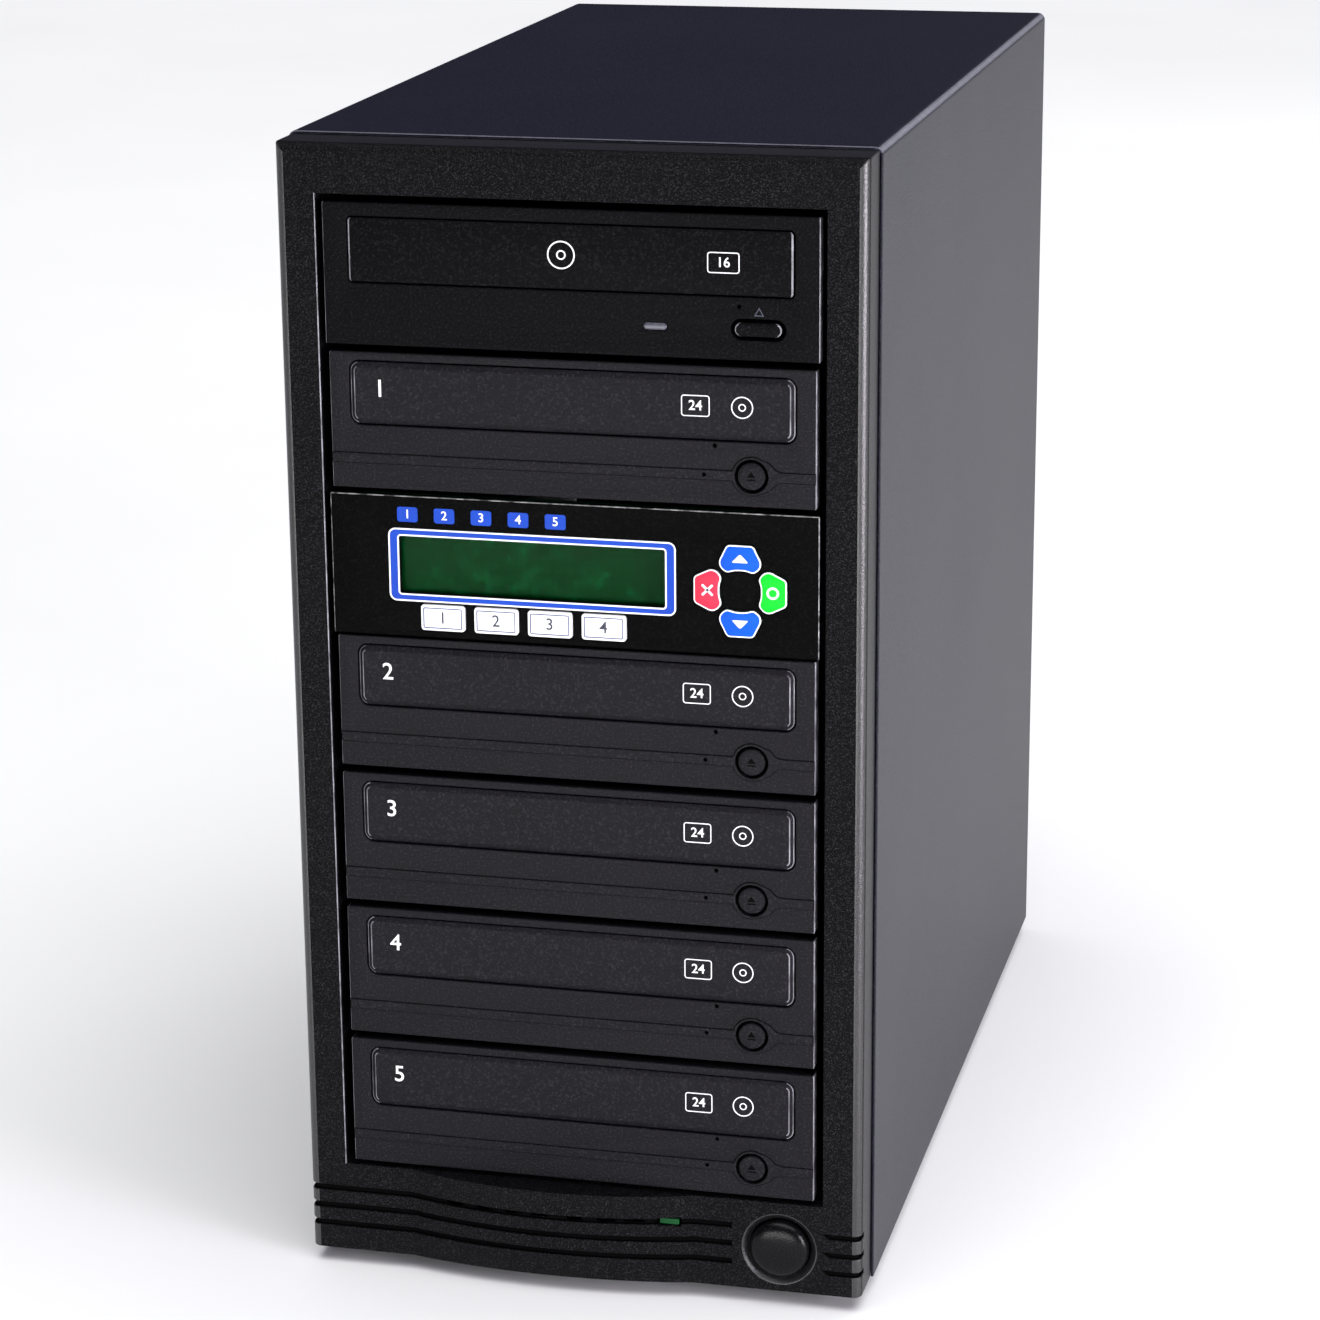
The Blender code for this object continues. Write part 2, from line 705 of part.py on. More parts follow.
def groove_heights(lowest):
    return [FLOOR_Z + lowest + GROOVE_PITCH * number for number in range(GROOVE_COUNT)]


def groove_cutters():
    """Slabs for the grooves on the left and the notches on the right, to be cut to their depth."""
    slabs = []
    front = FRONT_Y - NOSE_DEPTH - OVERRUN
    reach = FRONT_Y + GROOVE_REACH
    outside = BEZEL_WIDTH / 2 + OVERRUN
    groove_end = POWER_X - POWER_WELL_DIAMETER / 2 - GROOVE_RIGHT_GAP
    for height in groove_heights(GROOVE_LOWEST):
        low, high = height - GROOVE_HEIGHT / 2, height + GROOVE_HEIGHT / 2
        slabs.append(box((-outside, front, low), (groove_end, reach, high)))
    notch_start = BEZEL_WIDTH / 2 - NOTCH_LENGTH
    for height in groove_heights(NOTCH_LOWEST):
        low, high = height - NOTCH_HEIGHT / 2, height + NOTCH_HEIGHT / 2
        outline = [
            (notch_start - NOTCH_POINT, high),
            (notch_start, low),
            (outside, low),
            (outside, high),
        ]
        slabs.append(prism([outline], "Y", front, reach))
    return slabs


def make_bezel():
    """The moulded front: a hollow frame round the bays, with a bulged foot."""
    back = FRONT_Y + BEZEL_DEPTH
    bezel = bezel_form(0, back)
    for slab in groove_cutters():
        cut(slab, bezel_form(GROOVE_DEPTH, back))
        cut(bezel, slab)

    opening_half = OPENING_WIDTH / 2
    opening_top = SILL_Z + OPENING_HEIGHT
    hollow = bezel_form(BEZEL_WALL, back + OVERRUN)
    rim = box(
        (-opening_half - RIM_WALL, FRONT_Y - NOSE_DEPTH, SILL_Z - RIM_WALL),
        (opening_half + RIM_WALL, back + 2 * OVERRUN, opening_top + RIM_WALL),
    )
    cut(bezel, cut(hollow, rim))

    power_z = FLOOR_Z + POWER_CENTRE_HEIGHT
    collar_end = FRONT_Y + BEZEL_WALL + POWER_COLLAR_LENGTH
    collar = cylinder(
        (POWER_X, FRONT_Y + BEZEL_WALL - LAP, power_z),
        (POWER_X, collar_end, power_z),
        POWER_HOLE / 2 + POWER_COLLAR_WALL,
        FINE_SIDES,
    )
    join(bezel, collar)
    slope = (POWER_WELL_DIAMETER - POWER_HOLE) / 2 / POWER_WELL_DEPTH
    well = cone(
        (POWER_X, FRONT_Y - OVERRUN, power_z),
        (POWER_X, FRONT_Y + POWER_WELL_DEPTH, power_z),
        POWER_WELL_DIAMETER / 2 + slope * OVERRUN,
        POWER_HOLE / 2,
        FINE_SIDES,
    )
    bore = cylinder(
        (POWER_X, FRONT_Y - OVERRUN, power_z),
        (POWER_X, collar_end + OVERRUN, power_z),
        POWER_HOLE / 2,
        FINE_SIDES,
    )
    bays = box(
        (-opening_half, FRONT_Y - OVERRUN, SILL_Z),
        (opening_half, back + OVERRUN, opening_top),
    )
    cut(bezel, well, bore, bays)

    vent_z = groove_heights(GROOVE_LOWEST)[-1]
    holes = [(LIGHT_X, LIGHT_WIDTH + 2 * FIT, LIGHT_HEIGHT + 2 * FIT)]
    for number in range(VENT_COUNT):
        holes.append((LIGHT_X - VENT_PITCH * (number + 1), VENT_WIDTH, VENT_HEIGHT))
    for hole_x, width, height in holes:
        cut(
            bezel,
            box(
                (hole_x - width / 2, FRONT_Y - NOSE_DEPTH - OVERRUN, vent_z - height / 2),
                (hole_x + width / 2, FRONT_Y + BEZEL_WALL + OVERRUN, vent_z + height / 2),
            ),
        )
    return finish(bezel, "front_bezel", "bezel_plastic")


def make_power_button():
    """A domed cap on a round skirt, with a flange behind the collar that keeps it in."""
    radius = POWER_DIAMETER / 2
    length = BEZEL_WALL + POWER_COLLAR_LENGTH + FIT - POWER_RIM_SETBACK
    sphere = (radius**2 + POWER_DOME**2) / (2 * POWER_DOME)
    spread = math.asin(radius / sphere)
    profile = []
    for step in range(DOME_STEPS + 1):
        angle = spread * step / DOME_STEPS
        profile.append((sphere * math.sin(angle), POWER_DOME - sphere * (1 - math.cos(angle))))
    profile += [
        (radius, -length),
        (radius + POWER_FLANGE, -length),
        (radius + POWER_FLANGE, -length - POWER_FLANGE),
        (0, -length - POWER_FLANGE),
    ]
    spot = (POWER_X, FRONT_Y + POWER_RIM_SETBACK, FLOOR_Z + POWER_CENTRE_HEIGHT)
    button = turned(profile, spot, FINE_SIDES, facing_front=True)
    return finish(button, "power_button", "bezel_plastic", spot)


def make_power_light():
    light_z = groove_heights(GROOVE_LOWEST)[-1]
    half_width, half_height = LIGHT_WIDTH / 2, LIGHT_HEIGHT / 2
    front = nose_front(LIGHT_X + half_width)
    light = box(
        (LIGHT_X - half_width, front, light_z - half_height),
        (LIGHT_X + half_width, front + LIGHT_DEPTH, light_z + half_height),
    )
    return finish(light, "power_light", "green_lamp")


def nose_front(at_x):
    """How far forward the bezel's foot reaches at a place across it."""
    half = NOSE_WIDTH / 2
    radius = (half**2 + NOSE_DEPTH**2) / (2 * NOSE_DEPTH)
    across = min(abs(at_x - NOSE_OFFSET), half)
    return FRONT_Y - NOSE_DEPTH + radius - math.sqrt(radius**2 - across**2)


def make_floor():
    """The chassis floor, with both sides turned up."""
    half, high = INNER_HALF_WIDTH, FLOOR_Z + FLOOR_FLANGE
    outline = mirrored(
        [
            (half, FLOOR_Z),
            (half, high),
            (half - SHEET, high),
            (half - SHEET, FLOOR_TOP_Z),
        ]
    )
    floor = prism([outline], "Y", INSIDE_Y, PANEL_BACK_Y)
    return finish(floor, "chassis_floor", "steel")


def make_cage(side):
    """A side plate of the drive cage. side is 1 on the right and -1 on the left."""
    inner, outer = CAGE_INNER_X, INNER_HALF_WIDTH - SHEET - FIT
    front, back = INSIDE_Y, INSIDE_Y + CAGE_DEPTH
    plan = [
        (inner, front),
        (outer, front),
        (outer, front + SHEET),
        (inner + SHEET, front + SHEET),
        (inner + SHEET, back - SHEET),
        (outer, back - SHEET),
        (outer, back),
        (inner, back),
    ]
    bottom = FLOOR_TOP_Z + FIT
    lip_z = LOWEST_BAY_Z + (BAY_COUNT - 1) * BAY_PITCH + BODY_HEIGHT + CAGE_TOP_GAP
    top = lip_z + SHEET
    cage = prism([plan], "Z", bottom, top)
    foot = box(
        (inner + LAP, front + CAGE_FOOT_MARGIN, bottom),
        (outer, back - CAGE_FOOT_MARGIN, bottom + SHEET),
    )
    lip = box((inner - CAGE_TOP_LIP, front, lip_z), (inner + LAP, back, top))
    join(cage, foot, lip)
    for number in range(BAY_COUNT):
        slot_z = LOWEST_BAY_Z + number * BAY_PITCH + BODY_HEIGHT / 2
        for setback in CAGE_SLOT_SETBACKS:
            slot = box(
                (inner - OVERRUN, front + setback, slot_z - CAGE_SLOT_HEIGHT / 2),
                (inner + OVERRUN, front + setback + CAGE_SLOT_LENGTH, slot_z + CAGE_SLOT_HEIGHT / 2),
            )
            cut(cage, slot)
    if side < 0:
        mirror(cage)
    return finish(cage, "cage_right" if side > 0 else "cage_left", "steel")


def mirror(made):
    """Turns a shape into its mirror image across the tower's middle, faces still outwards."""
    made.data.transform(Matrix.Diagonal((-1, 1, 1, 1)))
    made.data.flip_normals()


def make_rear_panel():
    """The back: a flanged sheet with a window for the power supply and a grille for the fan."""
    half = INNER_HALF_WIDTH - SHEET - FIT
    back, front = PANEL_BACK_Y, PANEL_BACK_Y - REAR_FLANGE
    bottom, top = FLOOR_TOP_Z + FIT, TOP_Z - SHEET - FIT
    plan = mirrored(
        [
            (half, back),
            (half, front),
            (half - SHEET, front),
            (half - SHEET, back - SHEET),
        ]
    )
    panel = prism([plan], "Z", bottom, top)
    join(panel, box((LAP - half, front, top - SHEET), (half - LAP, back - LAP, top)))
    window = box(
        (SUPPLY_RIM - SUPPLY_WIDTH / 2, back - SHEET - OVERRUN, SUPPLY_BOTTOM_Z + SUPPLY_RIM),
        (SUPPLY_WIDTH / 2 - SUPPLY_RIM, back + OVERRUN, SUPPLY_BOTTOM_Z + SUPPLY_HEIGHT - SUPPLY_RIM),
    )
    cut(panel, window)
    middle = (GRILLE_SLOT_COUNT - 1) / 2
    for number in range(GRILLE_SLOT_COUNT):
        rise = (number - middle) * GRILLE_SLOT_PITCH
        half_length = math.sqrt((GRILLE_DIAMETER / 2) ** 2 - rise**2)
        slot = box(
            (-half_length, back - SHEET - OVERRUN, FAN_Z + rise - GRILLE_SLOT_HEIGHT / 2),
            (half_length, back + OVERRUN, FAN_Z + rise + GRILLE_SLOT_HEIGHT / 2),
        )
        cut(panel, slot)
    return finish(panel, "rear_panel", "steel")


# Drives

def bay_anchor(number):
    """An empty at the middle of a bay's floor, in the plane of the bezel's front."""
    anchor = into(PARTS, "bay_" + str(number + 1), None)
    anchor.location = (0, FRONT_Y, LOWEST_BAY_Z + (BAY_COUNT - 1 - number) * BAY_PITCH)
    anchor.hide_render = True
    return anchor


def body_shape():
    """A drive's can, with a deck, a spindle motor and the rails that the tray runs in."""
    half = BODY_WIDTH / 2
    wall = half - CAN_WALL
    hold = TRAY_WIDTH / 2 - RAIL_HOLD
    groove = TRAY_WIDTH / 2 + RUNNING_GAP
    lip_top = TRAY_TOP + FIT + RAIL_LIP
    outer = rectangle((-half, 0), (half, BODY_HEIGHT))
    tray_space = mirrored(
        [
            (hold, DECK_TOP),
            (hold, TRAY_BOTTOM - FIT),
            (groove, TRAY_BOTTOM - FIT),
            (groove, TRAY_TOP + FIT),
            (hold, TRAY_TOP + FIT),
            (hold, lip_top),
            (wall, lip_top),
            (wall, BODY_HEIGHT - CAN_WALL),
        ]
    )
    lower_space = rectangle((-wall, CAN_WALL), (wall, DECK_TOP - DECK_THICKNESS))
    body = prism([outer, tray_space, lower_space], "Y", BODY_FRONT, BODY_BACK)
    back_plate = box(
        (LAP - half, BODY_BACK - CAN_WALL, LAP),
        (half - LAP, BODY_BACK - LAP / 2, BODY_HEIGHT - LAP),
    )
    motor = cylinder(
        (0, DISC_CENTRE_Y, DECK_TOP - LAP),
        (0, DISC_CENTRE_Y, DECK_TOP + SPINDLE_HEIGHT),
        SPINDLE_DIAMETER / 2,
    )
    join(body, back_plate, motor)
    laser_start = DISC_CENTRE_Y + SPINDLE_DIAMETER / 2 + OVERRUN
    laser_slot = box(
        (-LASER_SLOT_WIDTH / 2, laser_start, DECK_TOP - DECK_THICKNESS - OVERRUN),
        (LASER_SLOT_WIDTH / 2, laser_start + LASER_SLOT_LENGTH, DECK_TOP + OVERRUN),
    )
    plug_low = CAN_WALL + OVERRUN
    plugs = box(
        (-PLUG_CUTOUT_WIDTH / 2, BODY_BACK - CAN_WALL - OVERRUN, plug_low),
        (PLUG_CUTOUT_WIDTH / 2, BODY_BACK + OVERRUN, plug_low + PLUG_CUTOUT_HEIGHT),
    )
    return cut(body, laser_slot, plugs)


def door_outline(kind, grow=0):
    low = TRAY_BOTTOM - kind.door_below_tray
    width = kind.width - 2 * kind.door_side_margin
    centre = (0, low + kind.door_height / 2)
    return rounded(width, kind.door_height, kind.door_corner, centre, grow)


def below_door(kind, right_share, height_share):
    """A place on a face: across it, and up the strip between its bottom edge and the door."""
    across = kind.width * (right_share - 0.5)
    door_low = TRAY_BOTTOM - kind.door_below_tray
    return across, kind.bottom + (door_low - kind.bottom) * height_share


def button_place(kind):
    return below_door(kind, kind.button_right_share, kind.button_height_share)


def button_outline(kind, grow=0):
    """A round or long button has ends that are half circles."""
    radius = kind.button_height / 2
    return rounded(kind.button_width, kind.button_height, radius, button_place(kind), grow)


def face_shape(kind):
    """A drive's face, with the door's opening and the places of its button, lamp and pin hole."""
    front, back = FACE_RECESS, FACE_RECESS + FACE_THICKNESS
    half = kind.width / 2
    face = box((-half, front, kind.bottom), (half, back, kind.top))
    button_x, button_z = button_place(kind)
    if kind.rib:
        rib = box(
            (FIT - half, front - RIB_PROUD, button_z - RIB_HEIGHT / 2),
            (half - FIT, front + LAP, button_z + RIB_HEIGHT / 2),
        )
        ring = cylinder(
            (button_x, front - RIB_PROUD, button_z),
            (button_x, front + LAP, button_z),
            RIB_RING_DIAMETER / 2,
        )
        join(face, join(rib, ring))
    recess_end = front + kind.button_recess / 2
    outside = front - OVERRUN
    cut(
        face,
        prism([door_outline(kind, RUNNING_GAP)], "Y", outside, back + OVERRUN),
        prism([button_outline(kind, kind.button_recess)], "Y", outside, recess_end),
        prism([button_outline(kind, RUNNING_GAP)], "Y", outside, back + OVERRUN),
    )
    pin_x, pin_z = below_door(kind, kind.pin_right_share, kind.pin_height_share)
    lamp_z = button_z
    lamp_x = below_door(kind, kind.lamp_right_share, 0)[0]
    cut(
        face,
        cylinder((pin_x, outside, pin_z), (pin_x, back + OVERRUN, pin_z), PIN_HOLE / 2, SMALL_SIDES),
    )
    lamp = rounded(kind.lamp_width, kind.lamp_height, kind.lamp_height / 2, (lamp_x, lamp_z))
    cut(face, prism([lamp], "Y", outside, back + OVERRUN))
    return face


def door_shape(kind):
    front = FACE_RECESS - DOOR_PROUD
    return prism([door_outline(kind)], "Y", front, front + DOOR_THICKNESS)


def tray_shape():
    """The tray, with a seat for a large and a small disc and the slot that the laser reads through."""
    half, back = TRAY_WIDTH / 2, TRAY_FRONT + TRAY_LENGTH
    tray = box((-half, TRAY_FRONT, TRAY_BOTTOM), (half, back, TRAY_TOP))
    seat = TRAY_TOP - DISC_RECESS_DEPTH
    large = cylinder(
        (0, DISC_CENTRE_Y, seat),
        (0, DISC_CENTRE_Y, TRAY_TOP + OVERRUN),
        DISC_RECESS / 2,
        FINE_SIDES,
    )
    small = cylinder(
        (0, DISC_CENTRE_Y, seat - SMALL_DISC_STEP),
        (0, DISC_CENTRE_Y, seat + OVERRUN),
        SMALL_DISC_RECESS / 2,
    )
    slot_end = back - TRAY_SLOT_TAIL
    slot_length = slot_end - DISC_CENTRE_Y + TRAY_SLOT_WIDTH / 2
    centre = (0, slot_end - slot_length / 2)
    outline = rounded(TRAY_SLOT_WIDTH, slot_length, TRAY_SLOT_WIDTH / 2, centre)
    slot = prism([outline], "Z", TRAY_BOTTOM - OVERRUN, TRAY_TOP + OVERRUN)
    return cut(tray, large, small, slot)


def button_shape(kind):
    """An eject button, with a flange behind the face that keeps it in."""
    front = FACE_RECESS - (RIB_PROUD if kind.rib else 0)
    back = FACE_RECESS + FACE_THICKNESS + FIT
    stem = prism([button_outline(kind)], "Y", front, back + LAP)
    flange = prism([button_outline(kind, BUTTON_FLANGE)], "Y", back, back + BUTTON_FLANGE_THICKNESS)
    return join(stem, flange)


def make_drives():
    """Six drives: each is a body, a face, a tray with its door, and an eject button."""
    meshes = {
        "body": dressed(body_shape(), "drive_body", "steel"),
        "tray": dressed(tray_shape(), "drive_tray", "tray_plastic"),
    }
    fronts = {}
    for prefix, kind in (("reader", READER), ("writer", WRITER)):
        fronts[prefix] = {
            "face": dressed(face_shape(kind), prefix + "_face", "face_plastic"),
            "tray_door": dressed(door_shape(kind), prefix + "_tray_door", "face_plastic"),
            "eject_button": dressed(button_shape(kind), prefix + "_eject_button", "face_plastic"),
        }
    for number, bay in enumerate(BAYS):
        prefix = bay.split("_")[0]
        if prefix not in fronts:
            continue
        anchor = bay_anchor(number)
        for part_name, mesh in {**meshes, **fronts[prefix]}.items():
            place(mesh, bay + "_" + part_name, parent=anchor)


# Controller

def petal(turns, grow=0):
    """A cursor key: widest low down, and hollowed round the middle of the pad."""
    outer, inner, reach = PETAL_OUTER_HALF + grow, PETAL_INNER_HALF + grow, PETAL_REACH + grow
    wide = PETAL_WIDE_HALF + grow
    radius = math.hypot(PETAL_INNER_HALF, PETAL_INNER_START) - grow
    spread = math.asin(inner / radius)
    points = [(outer, reach), (-outer, reach), (-wide, PETAL_WIDE_START)]
    for step in range(ROUND_STEPS):
        angle = spread * (2 * step / (ROUND_STEPS - 1) - 1)
        points.append((radius * math.sin(angle), radius * math.cos(angle)))
    points.append((wide, PETAL_WIDE_START))
    angle = math.pi / 2 * turns
    turned_points = []
    for across, up in points:
        turned_points.append(
            (
                PAD_CENTRE_X + across * math.cos(angle) - up * math.sin(angle),
                pad_height() + across * math.sin(angle) + up * math.cos(angle),
            )
        )
    return turned_points


def pad_height():
    return PAD_CENTRE_HEIGHT - PANEL_EXTRA_BOTTOM


def key_outline(number, grow=0):
    centre = (
        KEY_FIRST_X + number * KEY_PITCH,
        KEY_BOTTOM + KEY_HEIGHT / 2 - PANEL_EXTRA_BOTTOM,
    )
    return rounded(KEY_WIDTH, KEY_HEIGHT, KEY_CORNER, centre, grow)


def display_outline(grow=0):
    centre = (DISPLAY_CENTRE_X, DISPLAY_BOTTOM + DISPLAY_HEIGHT / 2 - PANEL_EXTRA_BOTTOM)
    return rounded(DISPLAY_WIDTH, DISPLAY_HEIGHT, DISPLAY_CORNER, centre, grow)


def post_places():
    """The middles of the posts that carry the board, near its corners."""
    half = CAGE_INNER_X - FIT - PANEL_ARM_WALL - BOARD_SIDE_GAP - POST_INSET
    low = BOARD_TOP_GAP + POST_INSET - PANEL_EXTRA_BOTTOM
    high = PANEL_HEIGHT - BOARD_TOP_GAP - POST_INSET - PANEL_EXTRA_BOTTOM
    return [(side * half, up) for side in (-1, 1) for up in (low, high)]


def make_controller_panel(anchor):
    """The panel, with an arm to each side of the cage and the posts that hold the board."""
    front, outside = PANEL_RECESS, PANEL_RECESS - OVERRUN
    half = PANEL_WIDTH / 2
    panel = box(
        (-half, front, -PANEL_EXTRA_BOTTOM),
        (half, PANEL_BACK, PANEL_HEIGHT - PANEL_EXTRA_BOTTOM),
    )
    arm_outer = CAGE_INNER_X - FIT
    arm_low = (BODY_HEIGHT - PANEL_ARM_HEIGHT) / 2
    for side in (-1, 1):
        edges = sorted((side * arm_outer, side * (arm_outer - PANEL_ARM_WALL)))
        arm = box(
            (edges[0], PANEL_BACK - LAP, arm_low),
            (edges[1], PANEL_BACK + PANEL_ARM_LENGTH, arm_low + PANEL_ARM_HEIGHT),
        )
        join(panel, arm)
    for post_x, post_z in post_places():
        post = cylinder(
            (post_x, PANEL_BACK - LAP, post_z),
            (post_x, BOARD_FRONT - FIT, post_z),
            POST_DIAMETER / 2,
            SMALL_SIDES,
        )
        join(panel, post)
    holes = [display_outline()]
    holes += [key_outline(number, FIT) for number in range(len(KEY_NAMES))]
    holes += [petal(turns, FIT) for turns in range(len(PETAL_NAMES))]
    for outline in holes:
        cut(panel, prism([outline], "Y", outside, PANEL_BACK + OVERRUN))
    return finish(panel, "controller_panel", "panel_plastic", parent=anchor)


def make_display(anchor):
    """The window, the display behind it and the controller's board."""
    glass = prism([display_outline(GLASS_BORDER)], "Y", GLASS_FRONT, GLASS_FRONT + GLASS_THICKNESS)
    finish(glass, "display_window", "display_glass", parent=anchor)
    module = prism([display_outline(GLASS_BORDER)], "Y", MODULE_FRONT, MODULE_FRONT + MODULE_THICKNESS)
    finish(module, "display_module", "display_module", parent=anchor)
    half = CAGE_INNER_X - FIT - PANEL_ARM_WALL - BOARD_SIDE_GAP
    board = box(
        (-half, BOARD_FRONT, BOARD_TOP_GAP - PANEL_EXTRA_BOTTOM),
        (half, BOARD_FRONT + BOARD_THICKNESS, PANEL_HEIGHT - BOARD_TOP_GAP - PANEL_EXTRA_BOTTOM),
    )
    finish(board, "controller_board", "circuit_board", parent=anchor)


def make_keys(anchor):
    front = PANEL_RECESS - KEY_PROUD
    for number, name in enumerate(KEY_NAMES):
        key = prism([key_outline(number)], "Y", front, KEY_BACK)
        finish(key, name, "white_key", parent=anchor)
    colours = ("blue_key", "red_key", "blue_key", "green_key")
    for turns, name in enumerate(PETAL_NAMES):
        key = prism([petal(turns)], "Y", front, KEY_BACK)
        finish(key, name, colours[turns], parent=anchor)


def make_controller():
    anchor = bay_anchor(BAYS.index("controller"))
    make_controller_panel(anchor)
    make_display(anchor)
    make_keys(anchor)


# Power supply and fans

def rotor_shape(centre, tip_radius, depth):
    """A hub with slanted blades, its axis along Y through the centre."""
    centre = Vector(centre)
    front = centre - Vector((0, depth / 2, 0))
    back = centre + Vector((0, depth / 2, 0))
    hub = cylinder(front, back, FAN_HUB / 2)
    width = depth / math.cos(math.radians(BLADE_PITCH)) * BLADE_DEPTH_SHARE
    for number in range(BLADE_COUNT):
        blade = box(
            (-width / 2, -BLADE_THICKNESS / 2, FAN_HUB / 2 - 2 * LAP),
            (width / 2, BLADE_THICKNESS / 2, tip_radius),
        )
        slant = Matrix.Rotation(math.pi / 2 - math.radians(BLADE_PITCH), 4, "Z")
        turn = Matrix.Rotation(2 * math.pi * number / BLADE_COUNT, 4, "Y")
        blade.data.transform(Matrix.Translation(centre) @ turn @ slant)
        join(hub, blade)
    return hub


def drill_hub(rotor, centre, depth):
    """The blind hole at a rotor's back that its shaft stands in."""
    back = centre[1] + depth / 2
    hole = cylinder(
        (centre[0], back - FAN_SHAFT_LENGTH - FIT, centre[2]),
        (centre[0], back + OVERRUN, centre[2]),
        FAN_SHAFT / 2 + FIT,
        SMALL_SIDES,
    )
    return cut(rotor, hole)


def shaft(centre_x, base_y, centre_z, gap):
    """The fixed shaft of a fan, standing forward from its base."""
    return cylinder(
        (centre_x, base_y + LAP, centre_z),
        (centre_x, base_y - gap - FAN_SHAFT_LENGTH, centre_z),
        FAN_SHAFT / 2,
        SMALL_SIDES,
    )


def spider_windows(centre_x, centre_z, radius, hub_radius, start, end):
    """Cutters for a round opening that leaves a hub on four arms."""
    ring = cylinder((centre_x, start, centre_z), (centre_x, end, centre_z), radius, FINE_SIDES)
    hub = cylinder(
        (centre_x, start - OVERRUN, centre_z), (centre_x, end + OVERRUN, centre_z), hub_radius
    )
    cut(ring, hub)
    for angle in SPIDER_ANGLES:
        arm = box(
            (-radius - OVERRUN, start - OVERRUN, -SPIDER_ARM / 2),
            (radius + OVERRUN, end + OVERRUN, SPIDER_ARM / 2),
        )
        turn = Matrix.Rotation(math.radians(angle), 4, "Y")
        arm.data.transform(Matrix.Translation((centre_x, 0, centre_z)) @ turn)
        cut(ring, arm)
    return ring


def make_supply():
    """A boxed power supply, with its fan behind a round grille on the tower's back."""
    half, bottom, top = SUPPLY_WIDTH / 2, SUPPLY_BOTTOM_Z, SUPPLY_BOTTOM_Z + SUPPLY_HEIGHT
    back, front = SUPPLY_BACK_Y, SUPPLY_FRONT_Y
    case = box((-half, front, bottom), (half, back, top))
    inside = box(
        (SHEET - half, front + SHEET, bottom + SHEET), (half - SHEET, back - SHEET, top - SHEET)
    )
    windows = spider_windows(
        SUPPLY_FAN_X,
        SUPPLY_FAN_Z,
        SUPPLY_FAN_DIAMETER / 2,
        SPIDER_HUB / 2,
        back - SHEET - OVERRUN,
        back + OVERRUN,
    )
    cut(case, windows)
    for number in range(SUPPLY_VENT_COUNT):
        vent_x = (number - (SUPPLY_VENT_COUNT - 1) / 2) * SUPPLY_VENT_PITCH
        vent = box(
            (vent_x - SUPPLY_VENT_WIDTH / 2, front - OVERRUN, SUPPLY_FAN_Z - SUPPLY_VENT_HEIGHT / 2),
            (vent_x + SUPPLY_VENT_WIDTH / 2, front + OVERRUN, SUPPLY_FAN_Z + SUPPLY_VENT_HEIGHT / 2),
        )
        cut(case, vent)
    socket_hole = box(
        (
            SOCKET_X - SOCKET_WIDTH / 2 - SOCKET_WALL - FIT,
            back - OVERRUN,
            SOCKET_Z - SOCKET_HEIGHT / 2 - SOCKET_WALL - FIT,
        ),
        (
            SOCKET_X + SOCKET_WIDTH / 2 + SOCKET_WALL + FIT,
            back + OVERRUN,
            SOCKET_Z + SOCKET_HEIGHT / 2 + SOCKET_WALL + FIT,
        ),
    )
    rocker_hole = box(
        (SOCKET_X - ROCKER_WIDTH / 2 - FIT, back - OVERRUN, ROCKER_Z - ROCKER_HEIGHT / 2 - FIT),
        (SOCKET_X + ROCKER_WIDTH / 2 + FIT, back + OVERRUN, ROCKER_Z + ROCKER_HEIGHT / 2 + FIT),
    )
    cut(case, inside, socket_hole, rocker_hole)
    join(case, shaft(SUPPLY_FAN_X, back - SHEET, SUPPLY_FAN_Z, FIT))
    finish(case, "supply_case", "steel")

    centre = (SUPPLY_FAN_X, back - SHEET - FIT - SUPPLY_ROTOR_DEPTH / 2, SUPPLY_FAN_Z)
    tip = SUPPLY_FAN_DIAMETER / 2 - FAN_TIP_GAP
    rotor = drill_hub(rotor_shape(centre, tip, SUPPLY_ROTOR_DEPTH), centre, SUPPLY_ROTOR_DEPTH)
    finish(rotor, "supply_fan_rotor", "black_plastic", centre)


def make_inlet():
    """A mains inlet: a flanged shell with three flat pins."""
    back = SUPPLY_BACK_Y
    half_width, half_height = SOCKET_WIDTH / 2, SOCKET_HEIGHT / 2
    flange_start = back + FIT
    flange_end = flange_start + SOCKET_FLANGE_THICKNESS
    floor = flange_end - SOCKET_DEPTH

    def shell(grow, start, end):
        return box(
            (SOCKET_X - half_width - grow, start, SOCKET_Z - half_height - grow),
            (SOCKET_X + half_width + grow, end, SOCKET_Z + half_height + grow),
        )

    inlet = shell(SOCKET_WALL, floor - SOCKET_WALL, flange_end - LAP)
    join(inlet, shell(SOCKET_WALL + SOCKET_FLANGE, flange_start, flange_end))
    cut(inlet, shell(0, floor, flange_end + OVERRUN))
    for side, rise in ((-1, PIN_STEP), (0, -PIN_STEP), (1, PIN_STEP)):
        pin_x = SOCKET_X + side * PIN_PITCH
        pin = box(
            (pin_x - PIN_WIDTH / 2, floor - LAP, SOCKET_Z + rise - PIN_HEIGHT / 2),
            (pin_x + PIN_WIDTH / 2, floor + PIN_LENGTH, SOCKET_Z + rise + PIN_HEIGHT / 2),
        )
        join(inlet, pin)
    return finish(inlet, "power_inlet", "black_plastic")


